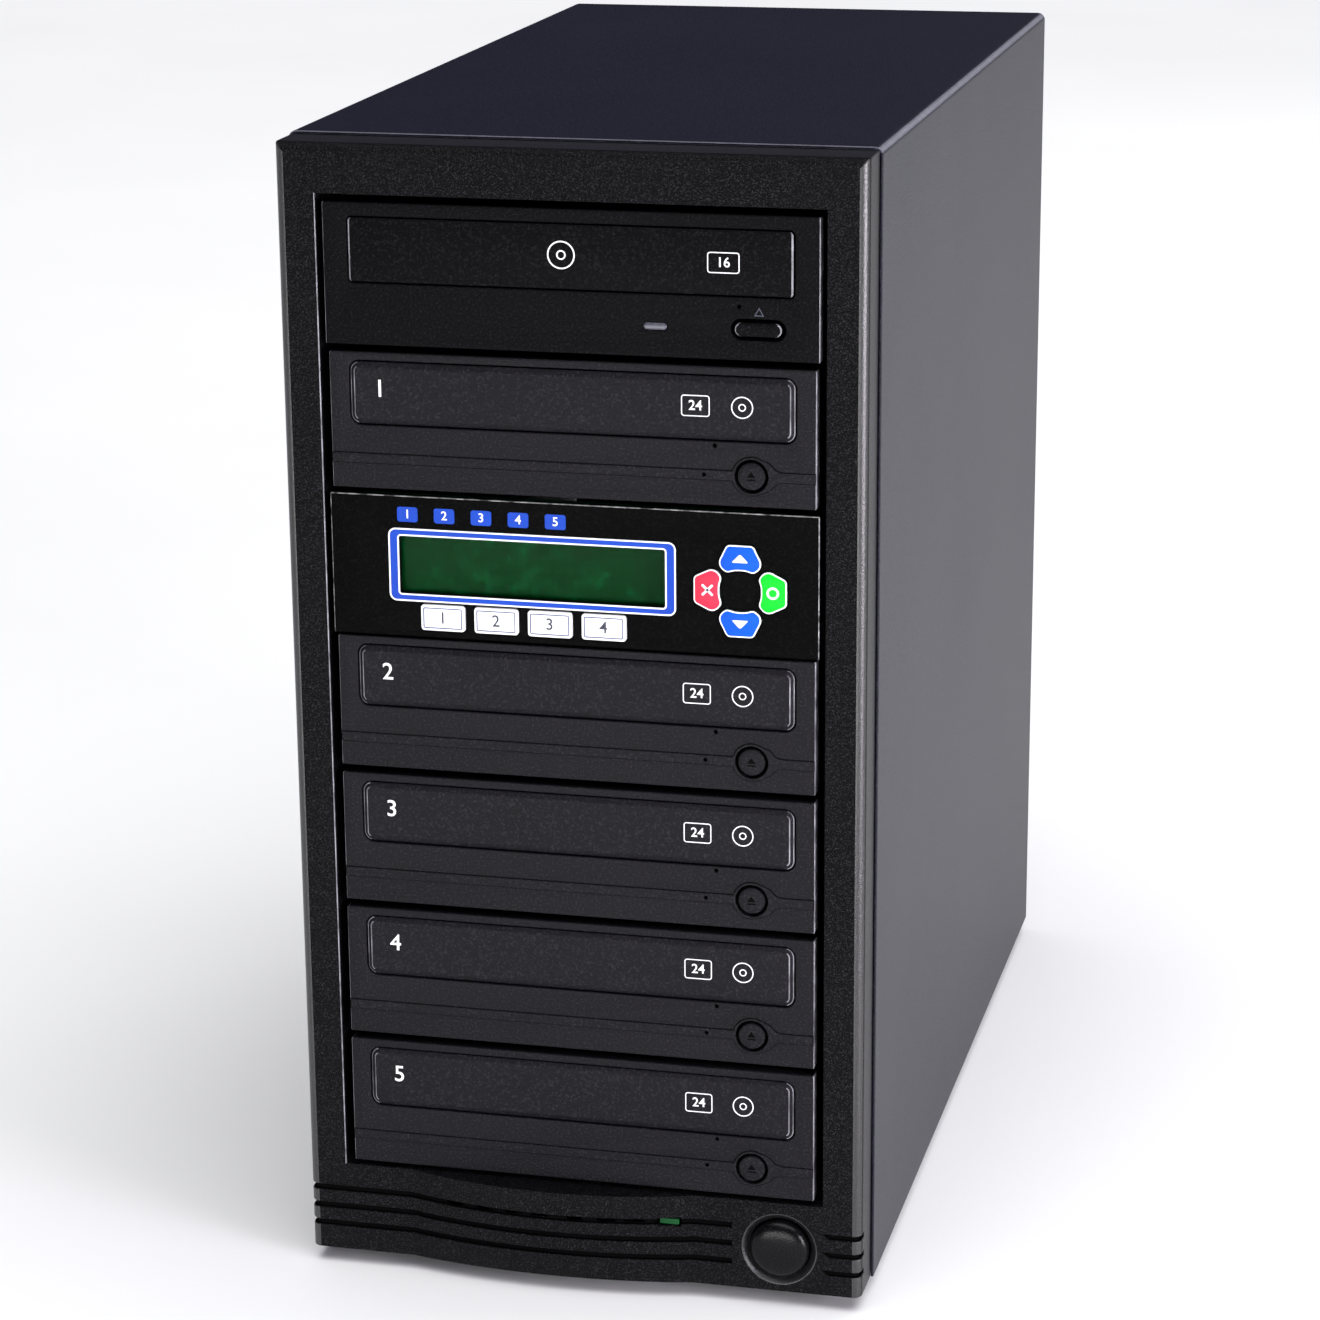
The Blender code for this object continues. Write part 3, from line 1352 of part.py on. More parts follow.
def make_rocker():
    """The mains switch: a shallow V that rocks about a pivot across it, at rest with its top out."""
    half_width, half_height = ROCKER_WIDTH / 2, ROCKER_HEIGHT / 2
    tilt = math.radians(ROCKER_TILT)
    pivot_y = SUPPLY_BACK_Y - SHEET / 2
    rise = half_height * math.tan(tilt)
    depth = half_height * ROCKER_BACK_SHARE
    outline = [
        (half_height * math.cos(tilt) - FIT, ROCKER_PROUD + rise),
        (0, ROCKER_PROUD),
        (FIT - half_height * math.cos(tilt), ROCKER_PROUD + rise),
        (-depth, FIT - ROCKER_DEPTH / 2),
        (depth, FIT - ROCKER_DEPTH / 2),
    ]
    rocker = prism([list(reversed(outline))], "Z", -half_width, half_width)
    spot = (SOCKET_X, pivot_y, ROCKER_Z)
    stand = Matrix.Rotation(tilt, 4, "X") @ Matrix.Rotation(math.pi / 2, 4, "Y")
    rocker.data.transform(Matrix.Translation(spot) @ stand)
    return finish(rocker, "supply_switch", "black_plastic", spot)


def make_rear_fan():
    """An 80 mm fan behind the grille, its frame's base and shaft towards the back."""
    back = PANEL_BACK_Y - SHEET - FIT
    front = back - FAN_DEPTH
    frame = prism([rounded(FAN_SIZE, FAN_SIZE, FAN_CORNER, (0, FAN_Z))], "Y", front, back)
    rotor_back = back - FAN_BASE_THICKNESS - FIT
    bore = cylinder((0, front - OVERRUN, FAN_Z), (0, rotor_back + FIT, FAN_Z), FAN_BORE / 2, FINE_SIDES)
    windows = spider_windows(
        0, FAN_Z, FAN_BORE / 2 - LAP, FAN_HUB / 2, rotor_back, back + OVERRUN
    )
    cut(frame, bore, windows)
    join(frame, shaft(0, back - FAN_BASE_THICKNESS, FAN_Z, FIT))
    finish(frame, "rear_fan_frame", "black_plastic")
    depth = rotor_back - front - FAN_FRONT_SETBACK
    centre = (0, rotor_back - depth / 2, FAN_Z)
    rotor = drill_hub(rotor_shape(centre, FAN_BORE / 2 - FAN_TIP_GAP, depth), centre, depth)
    finish(rotor, "rear_fan_rotor", "black_plastic", centre)


def make_feet():
    profile = [
        (0, FOOT_HEIGHT - FIT),
        (FOOT_DIAMETER / 2, FOOT_HEIGHT - FIT),
        (FOOT_DIAMETER / 2 - FOOT_TAPER, 0),
        (0, 0),
    ]
    half = CASE_WIDTH / 2 - FOOT_SIDE_MARGIN
    places = {"front": FRONT_Y + FOOT_FRONT_MARGIN, "rear": BACK_Y - FOOT_REAR_MARGIN}
    for end, foot_y in places.items():
        for side, foot_x in (("left", -half), ("right", half)):
            foot = turned(profile, (foot_x, foot_y, 0))
            finish(foot, "foot_" + end + "_" + side, "rubber", (foot_x, foot_y, 0))


def main():
    make_cover()
    make_bezel()
    make_power_button()
    make_power_light()
    make_floor()
    make_cage(-1)
    make_cage(1)
    make_rear_panel()
    make_drives()
    make_controller()
    make_supply()
    make_inlet()
    make_rocker()
    make_rear_fan()
    make_feet()
    for leftover in list(WORKSHOP.objects):
        bpy.data.objects.remove(leftover)


main()
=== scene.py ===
"""How the disc duplicator tower looks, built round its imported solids.

Lengths are in metres. X runs to the right, Y to the back and Z up, as in the solids.
A place in a bay is given from the middle of the bay's floor at the front plane: x to the
right, y back from the front plane, and z up.
"""

import json
import math

import bmesh
import bpy
from mathutils import Matrix, Vector

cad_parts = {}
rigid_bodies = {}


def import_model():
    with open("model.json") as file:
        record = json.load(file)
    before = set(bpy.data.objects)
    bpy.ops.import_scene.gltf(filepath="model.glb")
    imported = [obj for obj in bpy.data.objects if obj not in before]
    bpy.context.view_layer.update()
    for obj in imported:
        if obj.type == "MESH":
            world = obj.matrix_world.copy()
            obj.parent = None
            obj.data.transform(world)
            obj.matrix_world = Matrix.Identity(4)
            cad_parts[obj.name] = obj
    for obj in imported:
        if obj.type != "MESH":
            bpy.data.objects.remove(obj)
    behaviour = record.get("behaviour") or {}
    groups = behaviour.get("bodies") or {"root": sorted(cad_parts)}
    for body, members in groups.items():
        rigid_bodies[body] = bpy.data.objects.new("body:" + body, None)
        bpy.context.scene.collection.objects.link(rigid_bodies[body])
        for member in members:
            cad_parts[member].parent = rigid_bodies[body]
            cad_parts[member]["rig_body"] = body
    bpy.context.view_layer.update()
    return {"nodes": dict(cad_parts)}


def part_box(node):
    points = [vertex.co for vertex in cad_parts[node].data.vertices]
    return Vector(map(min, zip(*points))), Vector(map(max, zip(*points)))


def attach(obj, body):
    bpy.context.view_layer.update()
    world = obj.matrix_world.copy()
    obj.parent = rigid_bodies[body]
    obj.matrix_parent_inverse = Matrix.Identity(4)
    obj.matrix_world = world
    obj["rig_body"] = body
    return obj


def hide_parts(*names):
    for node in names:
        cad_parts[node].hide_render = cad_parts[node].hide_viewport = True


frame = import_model()

# Places, as in the solids
MM = 0.001
FRONT_Y = -171.15 * MM
LOWEST_BAY_Z = 36.2 * MM
BAY_PITCH = 43.96 * MM
BAYS = ("reader", "writer_1", "controller", "writer_2", "writer_3", "writer_4", "writer_5")
WELD = 1e-6

# Half the thickness of a printed mark, and how sharp an edge has to be, in degrees, for a
# copied solid to have it rounded
PRINT_HALF = 0.03 * MM
ROUND_FROM = 32

# Turns what is drawn flat so that it faces the front
UPRIGHT = Matrix.Rotation(math.pi / 2, 4, "X")

# Writers' faces
WRITER_FACE = (148.2 * MM, 41.5 * MM)
WRITER_DOOR = (135.6 * MM, 19.0 * MM)
WRITER_DOOR_Z = 29.2 * MM
WRITER_DOOR_CORNER = 3.0 * MM
WRITER_BUTTON = (54.7 * MM, 9.26 * MM)
WRITER_BUTTON_RADIUS = 4.15 * MM
WRITER_GROOVE_RADIUS = 5.05 * MM
WRITER_PIN = (43.6 * MM, 18.0 * MM)
WRITER_LAMP = (40.5 * MM, 9.26 * MM)

# Reader's face
READER_FACE = (150.0 * MM, 42.6 * MM)
READER_DOOR = (134.3 * MM, 19.1 * MM)
READER_DOOR_Z = 28.35 * MM
READER_DOOR_CORNER = 1.1 * MM
READER_BUTTON = (56.7 * MM, 8.88 * MM)
READER_BUTTON_SIZE = (14.0 * MM, 4.1 * MM)
READER_PIN = (51.0 * MM, 15.6 * MM)
READER_LAMP = (25.95 * MM, 8.88 * MM)
READER_LAMP_SIZE = (7.1 * MM, 2.2 * MM)
READER_MARK = (57.0 * MM, 14.2 * MM)

# Shared by the faces
FACE_FRONT = 0.4 * MM
FACE_BACK = 5.4 * MM
DOOR_FRONT = 0.1 * MM
DOOR_BACK = 4.6 * MM
DOOR_GAP = 0.4 * MM
HOLE_RADIUS = 0.6 * MM

# Control panel
PANEL_FRONT = 0.2 * MM
PANEL_BACK = 2.6 * MM
PANEL_SIZE = (150.3 * MM, 43.7 * MM)
PANEL_Z = 20.25 * MM
ARM_X = 72.0 * MM
ARM_HALF = 1.0 * MM
ARM_ZS = (5.65 * MM, 35.65 * MM)
ARM_LENGTH = 110.0 * MM
POST_X = 64.5 * MM
POST_ZS = (3.9 * MM, 36.6 * MM)
POST_RADIUS = 2.5 * MM
BOARD_FRONT = 10.2 * MM
WINDOW = (82.2 * MM, 17.7 * MM)
WINDOW_PLACE = (-12.7 * MM, 20.75 * MM)
WINDOW_LINE = 0.5 * MM
CELL_PITCH = (3.7 * MM, 7.2 * MM)
CELL_GAP = 0.7 * MM
SQUARE_SIZE = (6.4 * MM, 4.6 * MM)
SQUARE_PLACE = (-51.0 * MM, 36.4 * MM)
SQUARE_PITCH = 11.5 * MM
KEY_SIZE = (13.7 * MM, 8.0 * MM)
KEY_Z = 4.7 * MM
KEY_XS = (-40.5 * MM, -23.8 * MM, -7.09 * MM, 9.61 * MM)
KEY_FRONT = -0.5 * MM
PAD_PLACE = (51.4 * MM, 18.3 * MM)
PETAL_CORNERS = (
    (-4.0, 14.1), (4.0, 14.1), (6.5, 9.0), (6.1, 7.1), (4.1, 5.5),
    (1.6, 6.3), (-1.6, 6.3), (-4.1, 5.5), (-6.1, 7.1), (-6.5, 9.0),
)
PETAL_MIDDLE = 9.9 * MM

# Foot of the bezel
POWER_PLACE = (63.4 * MM, 19.2 * MM)
POWER_RADIUS = 9.25 * MM
# The button's profile in mm: how far in from its edge, and how deep
DOME_PROFILE = (
    (0.0, 9.0), (0.0, 0.6), (0.1, 0.1), (0.35, -0.4), (0.8, -0.88), (1.5, -1.3), (2.6, -1.72),
    (4.2, -2.1), (6.2, -2.38), (8.6, -2.5),
)
GROOVE_ZS = (13.7 * MM, 19.8 * MM, 25.9 * MM)
GROOVE_HALF = 0.92 * MM
NOTCH_ZS = (12.6 * MM, 18.7 * MM, 24.8 * MM)
NOTCH_HALF = 0.82 * MM
NOTCH_LEFT_X = 77.0 * MM
CUT_REACH = 4.7 * MM
WELL_RADII = (9.3 * MM, 12.2 * MM)

# The bezel's outside, and the strip of its opening's left rim that gets a painted highlight
OUTER_X = 86.3 * MM
OUTER_Z = 356.7 * MM
RIM_XS = (-79.0 * MM, -73.0 * MM)
RIM_LOW_Z = 35.0 * MM

# How far a face's normal points along Y: less than SIDE on the bezel's sides, more than
# ROUNDED on its roundings, and between EDGED and FLAT on an edge given a painted highlight
SIDE = 0.15
ROUNDED = 0.4
EDGED = 0.12
FLAT = 0.985

# How far back from the front plane the painted shade on the drives fades out
SHADE_END = (30.0 * MM, 36.0 * MM)

# Rear
PANEL_REAR_Y = 175.45 * MM
SUPPLY_REAR_Y = 174.15 * MM
REAR_FAN_PLACE = (0, 255.0 * MM)
FAN_SCREW_REACH = 35.75 * MM
FAN_SCREW_RADIUS = 3.6 * MM
SUPPLY_FAN_PLACE = (-28.0 * MM, 49.3 * MM)
SUPPLY_SCREWS = tuple((x * MM, z * MM) for x in (-72.0, 72.0) for z in (22.0, 78.0))
SUPPLY_SCREW_RADIUS = 2.9 * MM
COVER_SCREWS = tuple((x * MM, z * MM) for x in (-83.3, 83.3) for z in (30.0, 182.0, 334.0))
COVER_SCREW_RADIUS = 3.1 * MM
HOOP_RADII = (9.0 * MM, 17.0 * MM, 25.0 * MM, 33.0 * MM)
GUARD_REACH = 34.5 * MM
GUARD_FOOT = 1.06

# Camera, fitted to the photograph's edges
CAMERA_PLACE = (0.2827, -1.2241, 0.5256)
CAMERA_YAW = math.radians(13.66)
CAMERA_PITCH = math.radians(16.35)
CAMERA_ROLL = math.radians(-0.45)
CAMERA_LENS = 103.12
CAMERA_SENSOR = 36.0


def bay_place(bay):
    """The middle of a bay's floor at the front plane."""
    above = len(BAYS) - 1 - BAYS.index(bay)
    return Vector((0, FRONT_Y, LOWEST_BAY_Z + BAY_PITCH * above))


# Materials

def screen_colour(red, green, blue):
    """A colour given as on a screen, 0 to 255, as the shader takes it."""
    linear = []
    for value in (red, green, blue):
        share = value / 255
        linear.append(share / 12.92 if share <= 0.04045 else ((share + 0.055) / 1.055) ** 2.4)
    return (*linear, 1.0)


def colour_mix(tree, share, first, second):
    """Two colours mixed by a share; each is a socket, or given as on a screen."""
    mix = tree.nodes.new("ShaderNodeMix")
    mix.data_type = "RGBA"
    tree.links.new(share, mix.inputs["Factor"])
    for name, value in (("A", first), ("B", second)):
        if isinstance(value, tuple):
            mix.inputs[name].default_value = screen_colour(*value)
        else:
            tree.links.new(value, mix.inputs[name])
    return mix.outputs["Result"]


def finish_of(
    name, colour, second, roughness, grain, bump, spread=0.5, patch=60, rough_change=0.08,
    metallic=0.0, specular=0.5, coat=0.0, brushed=None, speck=None,
):
    """A moulded, painted or metal finish, with its colours given as on a screen.

    colour and second mix in soft patches, patch is how many of them fit in a metre, grain is
    the number of grains in a metre, and bump is how deep they are. brushed stretches the grain
    along one axis, and speck adds a lighter fleck of that colour to the grain.
    """
    material = bpy.data.materials.new(name)
    material.use_nodes = True
    tree = material.node_tree
    shader = tree.nodes["Principled BSDF"]
    place = tree.nodes.new("ShaderNodeTexCoord").outputs["Object"]
    stretched = place
    if brushed:
        mapping = tree.nodes.new("ShaderNodeMapping")
        mapping.inputs["Scale"].default_value = brushed
        tree.links.new(place, mapping.inputs["Vector"])
        stretched = mapping.outputs["Vector"]

    patches = tree.nodes.new("ShaderNodeTexNoise")
    patches.inputs["Scale"].default_value = patch
    patches.inputs["Detail"].default_value = 4
    tree.links.new(place, patches.inputs["Vector"])
    grains = tree.nodes.new("ShaderNodeTexNoise")
    grains.inputs["Scale"].default_value = grain
    grains.inputs["Detail"].default_value = 2
    grains.inputs["Roughness"].default_value = 0.6
    tree.links.new(stretched, grains.inputs["Vector"])

    share = tree.nodes.new("ShaderNodeMapRange")
    share.inputs["From Min"].default_value = 0.5 - spread / 2
    share.inputs["From Max"].default_value = 0.5 + spread / 2
    tree.links.new(patches.outputs["Fac"], share.inputs["Value"])
    shown = colour_mix(tree, share.outputs["Result"], colour, second)
    if speck:
        flecks = tree.nodes.new("ShaderNodeMapRange")
        flecks.inputs["From Min"].default_value = 0.52
        flecks.inputs["From Max"].default_value = 0.72
        tree.links.new(grains.outputs["Fac"], flecks.inputs["Value"])
        shown = colour_mix(tree, flecks.outputs["Result"], shown, speck)
    tree.links.new(shown, shader.inputs["Base Color"])

    gloss = tree.nodes.new("ShaderNodeMapRange")
    gloss.inputs["To Min"].default_value = roughness - rough_change
    gloss.inputs["To Max"].default_value = roughness + rough_change
    tree.links.new(patches.outputs["Fac"], gloss.inputs["Value"])
    tree.links.new(gloss.outputs["Result"], shader.inputs["Roughness"])

    relief = tree.nodes.new("ShaderNodeBump")
    relief.inputs["Strength"].default_value = 1.0
    relief.inputs["Distance"].default_value = bump
    tree.links.new(grains.outputs["Fac"], relief.inputs["Height"])
    tree.links.new(relief.outputs["Normal"], shader.inputs["Normal"])

    shader.inputs["Metallic"].default_value = metallic
    shader.inputs["Specular IOR Level"].default_value = specular
    shader.inputs["Coat Weight"].default_value = coat
    shader.inputs["Coat Roughness"].default_value = 0.2
    return material


def key_finish(name, colour, second, roughness):
    """The coloured plastic film of a key."""
    return finish_of(name, colour, second, roughness, 1500, 0.00003, specular=0.12)


def print_finish(name, colour, second):
    """A printed ink."""
    return finish_of(name, colour, second, 0.5, 2000, 0.00002, patch=900)


def lamp_finish(name, colour, second, strength):
    """A moulded lens that glows a little."""
    material = finish_of(name, colour, second, 0.3, 900, 0.00002, specular=0.2)
    shader = material.node_tree.nodes["Principled BSDF"]
    shader.inputs["Emission Color"].default_value = screen_colour(*colour)
    shader.inputs["Emission Strength"].default_value = strength
    return material


def cell_finish(name):
    """The display behind its window: rows of character cells, hardly lighter than the ground."""
    material = finish_of(name, (4, 96, 40), (4, 86, 34), 0.35, 700, 0.00001, specular=0.02)
    tree = material.node_tree
    shader = tree.nodes["Principled BSDF"]
    place = tree.nodes.new("ShaderNodeTexCoord").outputs["Object"]
    split = tree.nodes.new("ShaderNodeSeparateXYZ")
    tree.links.new(place, split.inputs["Vector"])
    lines = []
    for axis, pitch in zip("XZ", CELL_PITCH):
        wrapped = tree.nodes.new("ShaderNodeMath")
        wrapped.operation = "WRAP"
        wrapped.inputs[1].default_value = pitch
        wrapped.inputs[2].default_value = 0
        tree.links.new(split.outputs[axis], wrapped.inputs[0])
        line = tree.nodes.new("ShaderNodeMath")
        line.operation = "LESS_THAN"
        line.inputs[1].default_value = CELL_GAP
        tree.links.new(wrapped.outputs[0], line.inputs[0])
        lines.append(line)
    either = tree.nodes.new("ShaderNodeMath")
    either.operation = "MAXIMUM"
    tree.links.new(lines[0].outputs[0], either.inputs[0])
    tree.links.new(lines[1].outputs[0], either.inputs[1])
    before = shader.inputs["Base Color"].links[0].from_socket
    shown = colour_mix(tree, either.outputs[0], before, (3, 76, 30))
    tree.links.new(shown, shader.inputs["Base Color"])
    return material


def front_darkened(material):
    """Turns a steel dark at the front end: painted shade where the drives and their cage lie in the
    dark behind the bezel.
    """
    tree = material.node_tree
    shader = tree.nodes["Principled BSDF"]
    split = tree.nodes.new("ShaderNodeSeparateXYZ")
    tree.links.new(tree.nodes.new("ShaderNodeTexCoord").outputs["Object"], split.inputs["Vector"])
    share = tree.nodes.new("ShaderNodeMapRange")
    share.inputs["From Min"].default_value = FRONT_Y + SHADE_END[0]
    share.inputs["From Max"].default_value = FRONT_Y + SHADE_END[1]
    tree.links.new(split.outputs["Y"], share.inputs["Value"])
    before = shader.inputs["Base Color"].links[0].from_socket
    shown = colour_mix(tree, share.outputs["Result"], (4, 4, 4), before)
    tree.links.new(shown, shader.inputs["Base Color"])
    return material


POWDER = finish_of(
    "powder_coat_look", (9, 9, 24), (12, 12, 28), 0.44, 1400, 0.00025,
    patch=14, rough_change=0.02, specular=0.34, speck=(38, 36, 54),
)
# A lighter copy of the powder coat for the cover's rounded edges and folds: a painted highlight.
POWDER_EDGE_HIGHLIGHT = finish_of(
    "powder_coat_edge_highlight", (78, 77, 90), (104, 103, 116), 0.38, 1300, 0.0001, patch=240
)
BEZEL = finish_of(
    "bezel_look", (4, 4, 5), (6, 6, 7), 0.34, 2000, 0.0004,
    patch=30, rough_change=0.03, specular=0.07, speck=(44, 43, 47),
)
# A lighter, glossier copy of the bezel's plastic for its sides and top: painted light where they face
# the lamps.
BEZEL_SIDE_LIT = finish_of(
    "bezel_side_look", (14, 14, 17), (18, 18, 21), 0.46, 2000, 0.0001,
    patch=30, rough_change=0.03, specular=0.32, speck=(56, 55, 61),
)
# A lighter, glossier copy of the bezel's plastic for the roundings of its left and right front edges:
# a painted highlight; the top rounding keeps the plain look.
BEZEL_ROUND_HIGHLIGHT = finish_of(
    "bezel_rounding_look", (8, 8, 9), (12, 12, 13), 0.33, 2000, 0.00012,
    rough_change=0.03, specular=0.8, speck=(52, 51, 56),
)
# A lighter, glossier copy of the bezel's plastic for the power button's well: a painted highlight on
# its sloping wall.
WELL_HIGHLIGHT = finish_of(
    "button_well_look", (10, 10, 11), (14, 14, 15), 0.4, 2000, 0.00012,
    rough_change=0.03, specular=0.8, speck=(44, 43, 47),
)
POWER_FINISH = finish_of(
    "power_button_look", (6, 6, 7), (9, 9, 10), 0.2, 2000, 0.00005,
    rough_change=0.03, specular=0.16, speck=(22, 22, 25),
)
FACE = finish_of(
    "face_look", (16, 15, 19), (19, 18, 22), 0.5, 1400, 0.0002,
    patch=30, rough_change=0.03, specular=0.11, speck=(40, 39, 44),
)
# A light copy of the faces' plastic for the side edges of drive faces, doors and the reader's button,
# and for the bezel's left rim: a painted highlight.
FACE_EDGE_HIGHLIGHT = finish_of(
    "face_edge_highlight", (72, 71, 76), (140, 139, 146), 0.36, 1700, 0.00006,
    spread=0.3, patch=160, specular=0.6,
)
READER_FINISH = finish_of(
    "reader_face_look", (8, 8, 9), (10, 10, 11), 0.5, 1400, 0.0002,
    patch=30, rough_change=0.03, specular=0.04, speck=(28, 28, 31),
)
OVERLAY = finish_of(
    "overlay_look", (3, 3, 3), (5, 5, 5), 0.42, 1500, 0.0001,
    patch=30, rough_change=0.03, specular=0.02, speck=(15, 15, 15),
)
# Light patches for the panel's top and side edges: a painted highlight.
OVERLAY_EDGE_HIGHLIGHT = finish_of(
    "overlay_edge_highlight", (30, 30, 30), (150, 150, 150), 0.45, 900, 0.00004, spread=0.2, patch=240
)
TRAY = finish_of("tray_look", (26, 26, 28), (32, 32, 34), 0.42, 1500, 0.00006, specular=0.45)
GLASS = finish_of(
    "window_look", (2, 44, 14), (3, 52, 18), 0.12, 300, 0.00001,
    rough_change=0.03, specular=0.02, speck=(4, 84, 40),
)
GLASS.node_tree.nodes["Principled BSDF"].inputs["Alpha"].default_value = 0.45
MODULE = cell_finish("module_look")
BOARD = finish_of(
    "board_look", (18, 78, 44), (28, 96, 56), 0.4, 500, 0.00008, coat=0.3, patch=160
)
WHITE = finish_of("white_key_look", (250, 250, 251), (254, 254, 254), 0.4, 1500, 0.00003)
BLUE = key_finish("blue_key_look", (6, 80, 208), (9, 88, 216), 0.42)
RED = key_finish("red_key_look", (218, 44, 68), (226, 52, 78), 0.42)
GREEN = key_finish("green_key_look", (6, 200, 40), (10, 210, 48), 0.42)
BAND = key_finish("blue_band_look", (14, 62, 172), (18, 70, 182), 0.4)
PRINT = print_finish("white_print_look", (230, 230, 233), (244, 244, 247))
GREY_PRINT = print_finish("grey_print_look", (46, 50, 62), (56, 60, 74))
RIM_PRINT = print_finish("rim_print_look", (66, 78, 116), (78, 90, 128))
# Near-black for the eject mark printed on the writers' buttons, and for painted shade in the bezel's
# grooves, round the rib and in the screws' crosses.
DARK_PRINT_AND_SHADE = finish_of("dark_recess_look", (3, 3, 3), (6, 6, 6), 0.6, 1500, 0.00004, specular=0.03)
LAMP = lamp_finish("lamp_look", (6, 62, 26), (9, 78, 34), 0.03)
CLEAR_LENS = finish_of("lens_look", (60, 60, 70), (80, 80, 92), 0.3, 700, 0.00003, patch=500)
STEEL = finish_of(
    "steel_look", (162, 164, 168), (174, 176, 180), 0.42, 900, 0.00002,
    metallic=1.0, brushed=(1, 1, 10), patch=16, rough_change=0.03,
)
DRIVE_STEEL_SHADED = front_darkened(
    finish_of(
        "drive_steel_look", (128, 130, 134), (138, 140, 144), 0.4, 900, 0.00002,
        metallic=1.0, brushed=(1, 1, 10), patch=16, rough_change=0.03,
    )
)
SCREW_STEEL = finish_of(
    "screw_look", (160, 160, 164), (190, 190, 194), 0.26, 1800, 0.00002, metallic=1.0
)
BLACK = finish_of("black_plastic_look", (20, 20, 21), (26, 26, 27), 0.45, 1500, 0.00006)
RUBBER = finish_of("rubber_look", (22, 22, 22), (30, 30, 30), 0.78, 1300, 0.00015, specular=0.25)

NODE_LOOKS = {
    "steel": STEEL,
    "tray_plastic": TRAY,
    "circuit_board": BOARD,
    "black_plastic": BLACK,
    "rubber": RUBBER,
    "powder_coat": POWDER,
    "bezel_plastic": BEZEL,
    "face_plastic": FACE,
    "panel_plastic": OVERLAY,
    "display_glass": GLASS,
    "display_module": MODULE,
    "green_lamp": LAMP,
}


# Shapes

def linked(name, data):
    made = bpy.data.objects.new(name, data)
    bpy.context.scene.collection.objects.link(made)
    return made


def settled(made, name):
    """The mesh of an object with its modifiers or curve worked out; the object is used up."""
    graph = bpy.context.evaluated_depsgraph_get()
    mesh = bpy.data.meshes.new_from_object(made.evaluated_get(graph))
    mesh.name = name
    data = made.data
    bpy.data.objects.remove(made)
    if isinstance(data, bpy.types.Curve):
        bpy.data.curves.remove(data)
    else:
        bpy.data.meshes.remove(data)
    return mesh


def show(mesh, name, body, look, at=None, stands_for=()):
    """A piece of the tower: its mesh, its body, its finish or finishes and what it replaces."""
    looks = look if isinstance(look, tuple) else (look,)
    while len(mesh.materials) < len(looks):
        mesh.materials.append(None)
    for number, one in enumerate(looks):
        mesh.materials[number] = one
    if at is not None:
        mesh.transform(Matrix.Translation(at))
    made = linked(name, mesh)
    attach(made, body)
    if stands_for:
        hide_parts(*stands_for)
    return made


def body_with(node):
    return frame["nodes"][node]["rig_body"]


def slot_with(node):
    return frame["nodes"][node].data.materials[0].name.split(".")[0]


def worn_sides(mesh, half_width):
    """Gives the rounded left and right edges of a drive's face the second finish, a painted highlight.
    """
    for face in mesh.polygons:
        if abs(face.normal.x) > 0.25 and abs(face.center.x) > half_width - 0.5 * MM:
            face.material_index = 1
    return mesh


def worn_border(mesh, size, centre_z):
    """Gives a panel's top and side edges the second finish, a painted highlight."""
    for face in mesh.polygons:
        near_side = abs(face.center.x) > size[0] / 2 - 0.5 * MM
        near_top = face.center.z - centre_z > size[1] / 2 - 0.5 * MM
        if (near_side or near_top) and EDGED < abs(face.normal.y) < FLAT:
            face.material_index = 1
    return mesh


def worn_bands(mesh, count, bands):
    """Gives the sides of some of a pillow's bands, of count faces each, the second finish, a painted
    highlight.
    """
    for band in bands:
        for number in range(band * count, (band + 1) * count):
            if abs(mesh.polygons[number].normal.x) > 0.2:
                mesh.polygons[number].material_index = 1
    return mesh


def smooth(mesh, angle):
    """Smooth shading, with the edges sharper than the angle, in degrees, kept sharp."""
    form = bmesh.new()
    form.from_mesh(mesh)
    for face in form.faces:
        face.smooth = True
    for edge in form.edges:
        edge.smooth = len(edge.link_faces) == 2 and edge.calc_face_angle(0) < math.radians(angle)
    form.to_mesh(mesh)
    form.free()
    return mesh


def rounded_node(node, looks, width, segments=2):
    """A copy of a CAD node, which it stands for, with sharp edges rounded in the last look."""
    mesh = frame["nodes"][node].data.copy()
    form = bmesh.new()
    form.from_mesh(mesh)
    bmesh.ops.remove_doubles(form, verts=form.verts, dist=WELD)
    bmesh.ops.dissolve_limit(
        form, angle_limit=math.radians(0.5), verts=form.verts, edges=form.edges
    )
    for face in form.faces:
        face.smooth = True
        face.material_index = 0
    form.to_mesh(mesh)
    form.free()
    mesh.materials.clear()
    for look in looks:
        mesh.materials.append(look)
    made = linked(node + "_form", mesh)
    bevel = made.modifiers.new("rounding", "BEVEL")
    bevel.width = width
    bevel.segments = segments
    bevel.limit_method = "ANGLE"
    bevel.angle_limit = math.radians(ROUND_FROM)
    bevel.use_clamp_overlap = False
    bevel.harden_normals = True
    bevel.material = len(looks) - 1
    weighted = made.modifiers.new("shading", "WEIGHTED_NORMAL")
    weighted.keep_sharp = True
    name = node + "_look"
    return show(settled(made, name), name, body_with(node), looks, None, (node,))


def round_points(width, height, corner, centre=(0, 0), steps=6):
    """The outline of a rounded rectangle."""
    points = []
    half_width, half_height = width / 2 - corner, height / 2 - corner
    for quarter, (side, end) in enumerate(((1, 1), (-1, 1), (-1, -1), (1, -1))):
        for step in range(steps + 1):
            angle = math.pi / 2 * (quarter + step / steps)
            points.append(
                (
                    centre[0] + side * half_width + corner * math.cos(angle),
                    centre[1] + end * half_height + corner * math.sin(angle),
                )
            )
    return points


def circle_points(centre, radius, steps=32):
    return [
        (
            centre[0] + radius * math.cos(2 * math.pi * step / steps),
            centre[1] + radius * math.sin(2 * math.pi * step / steps),
        )
        for step in range(steps)
    ]


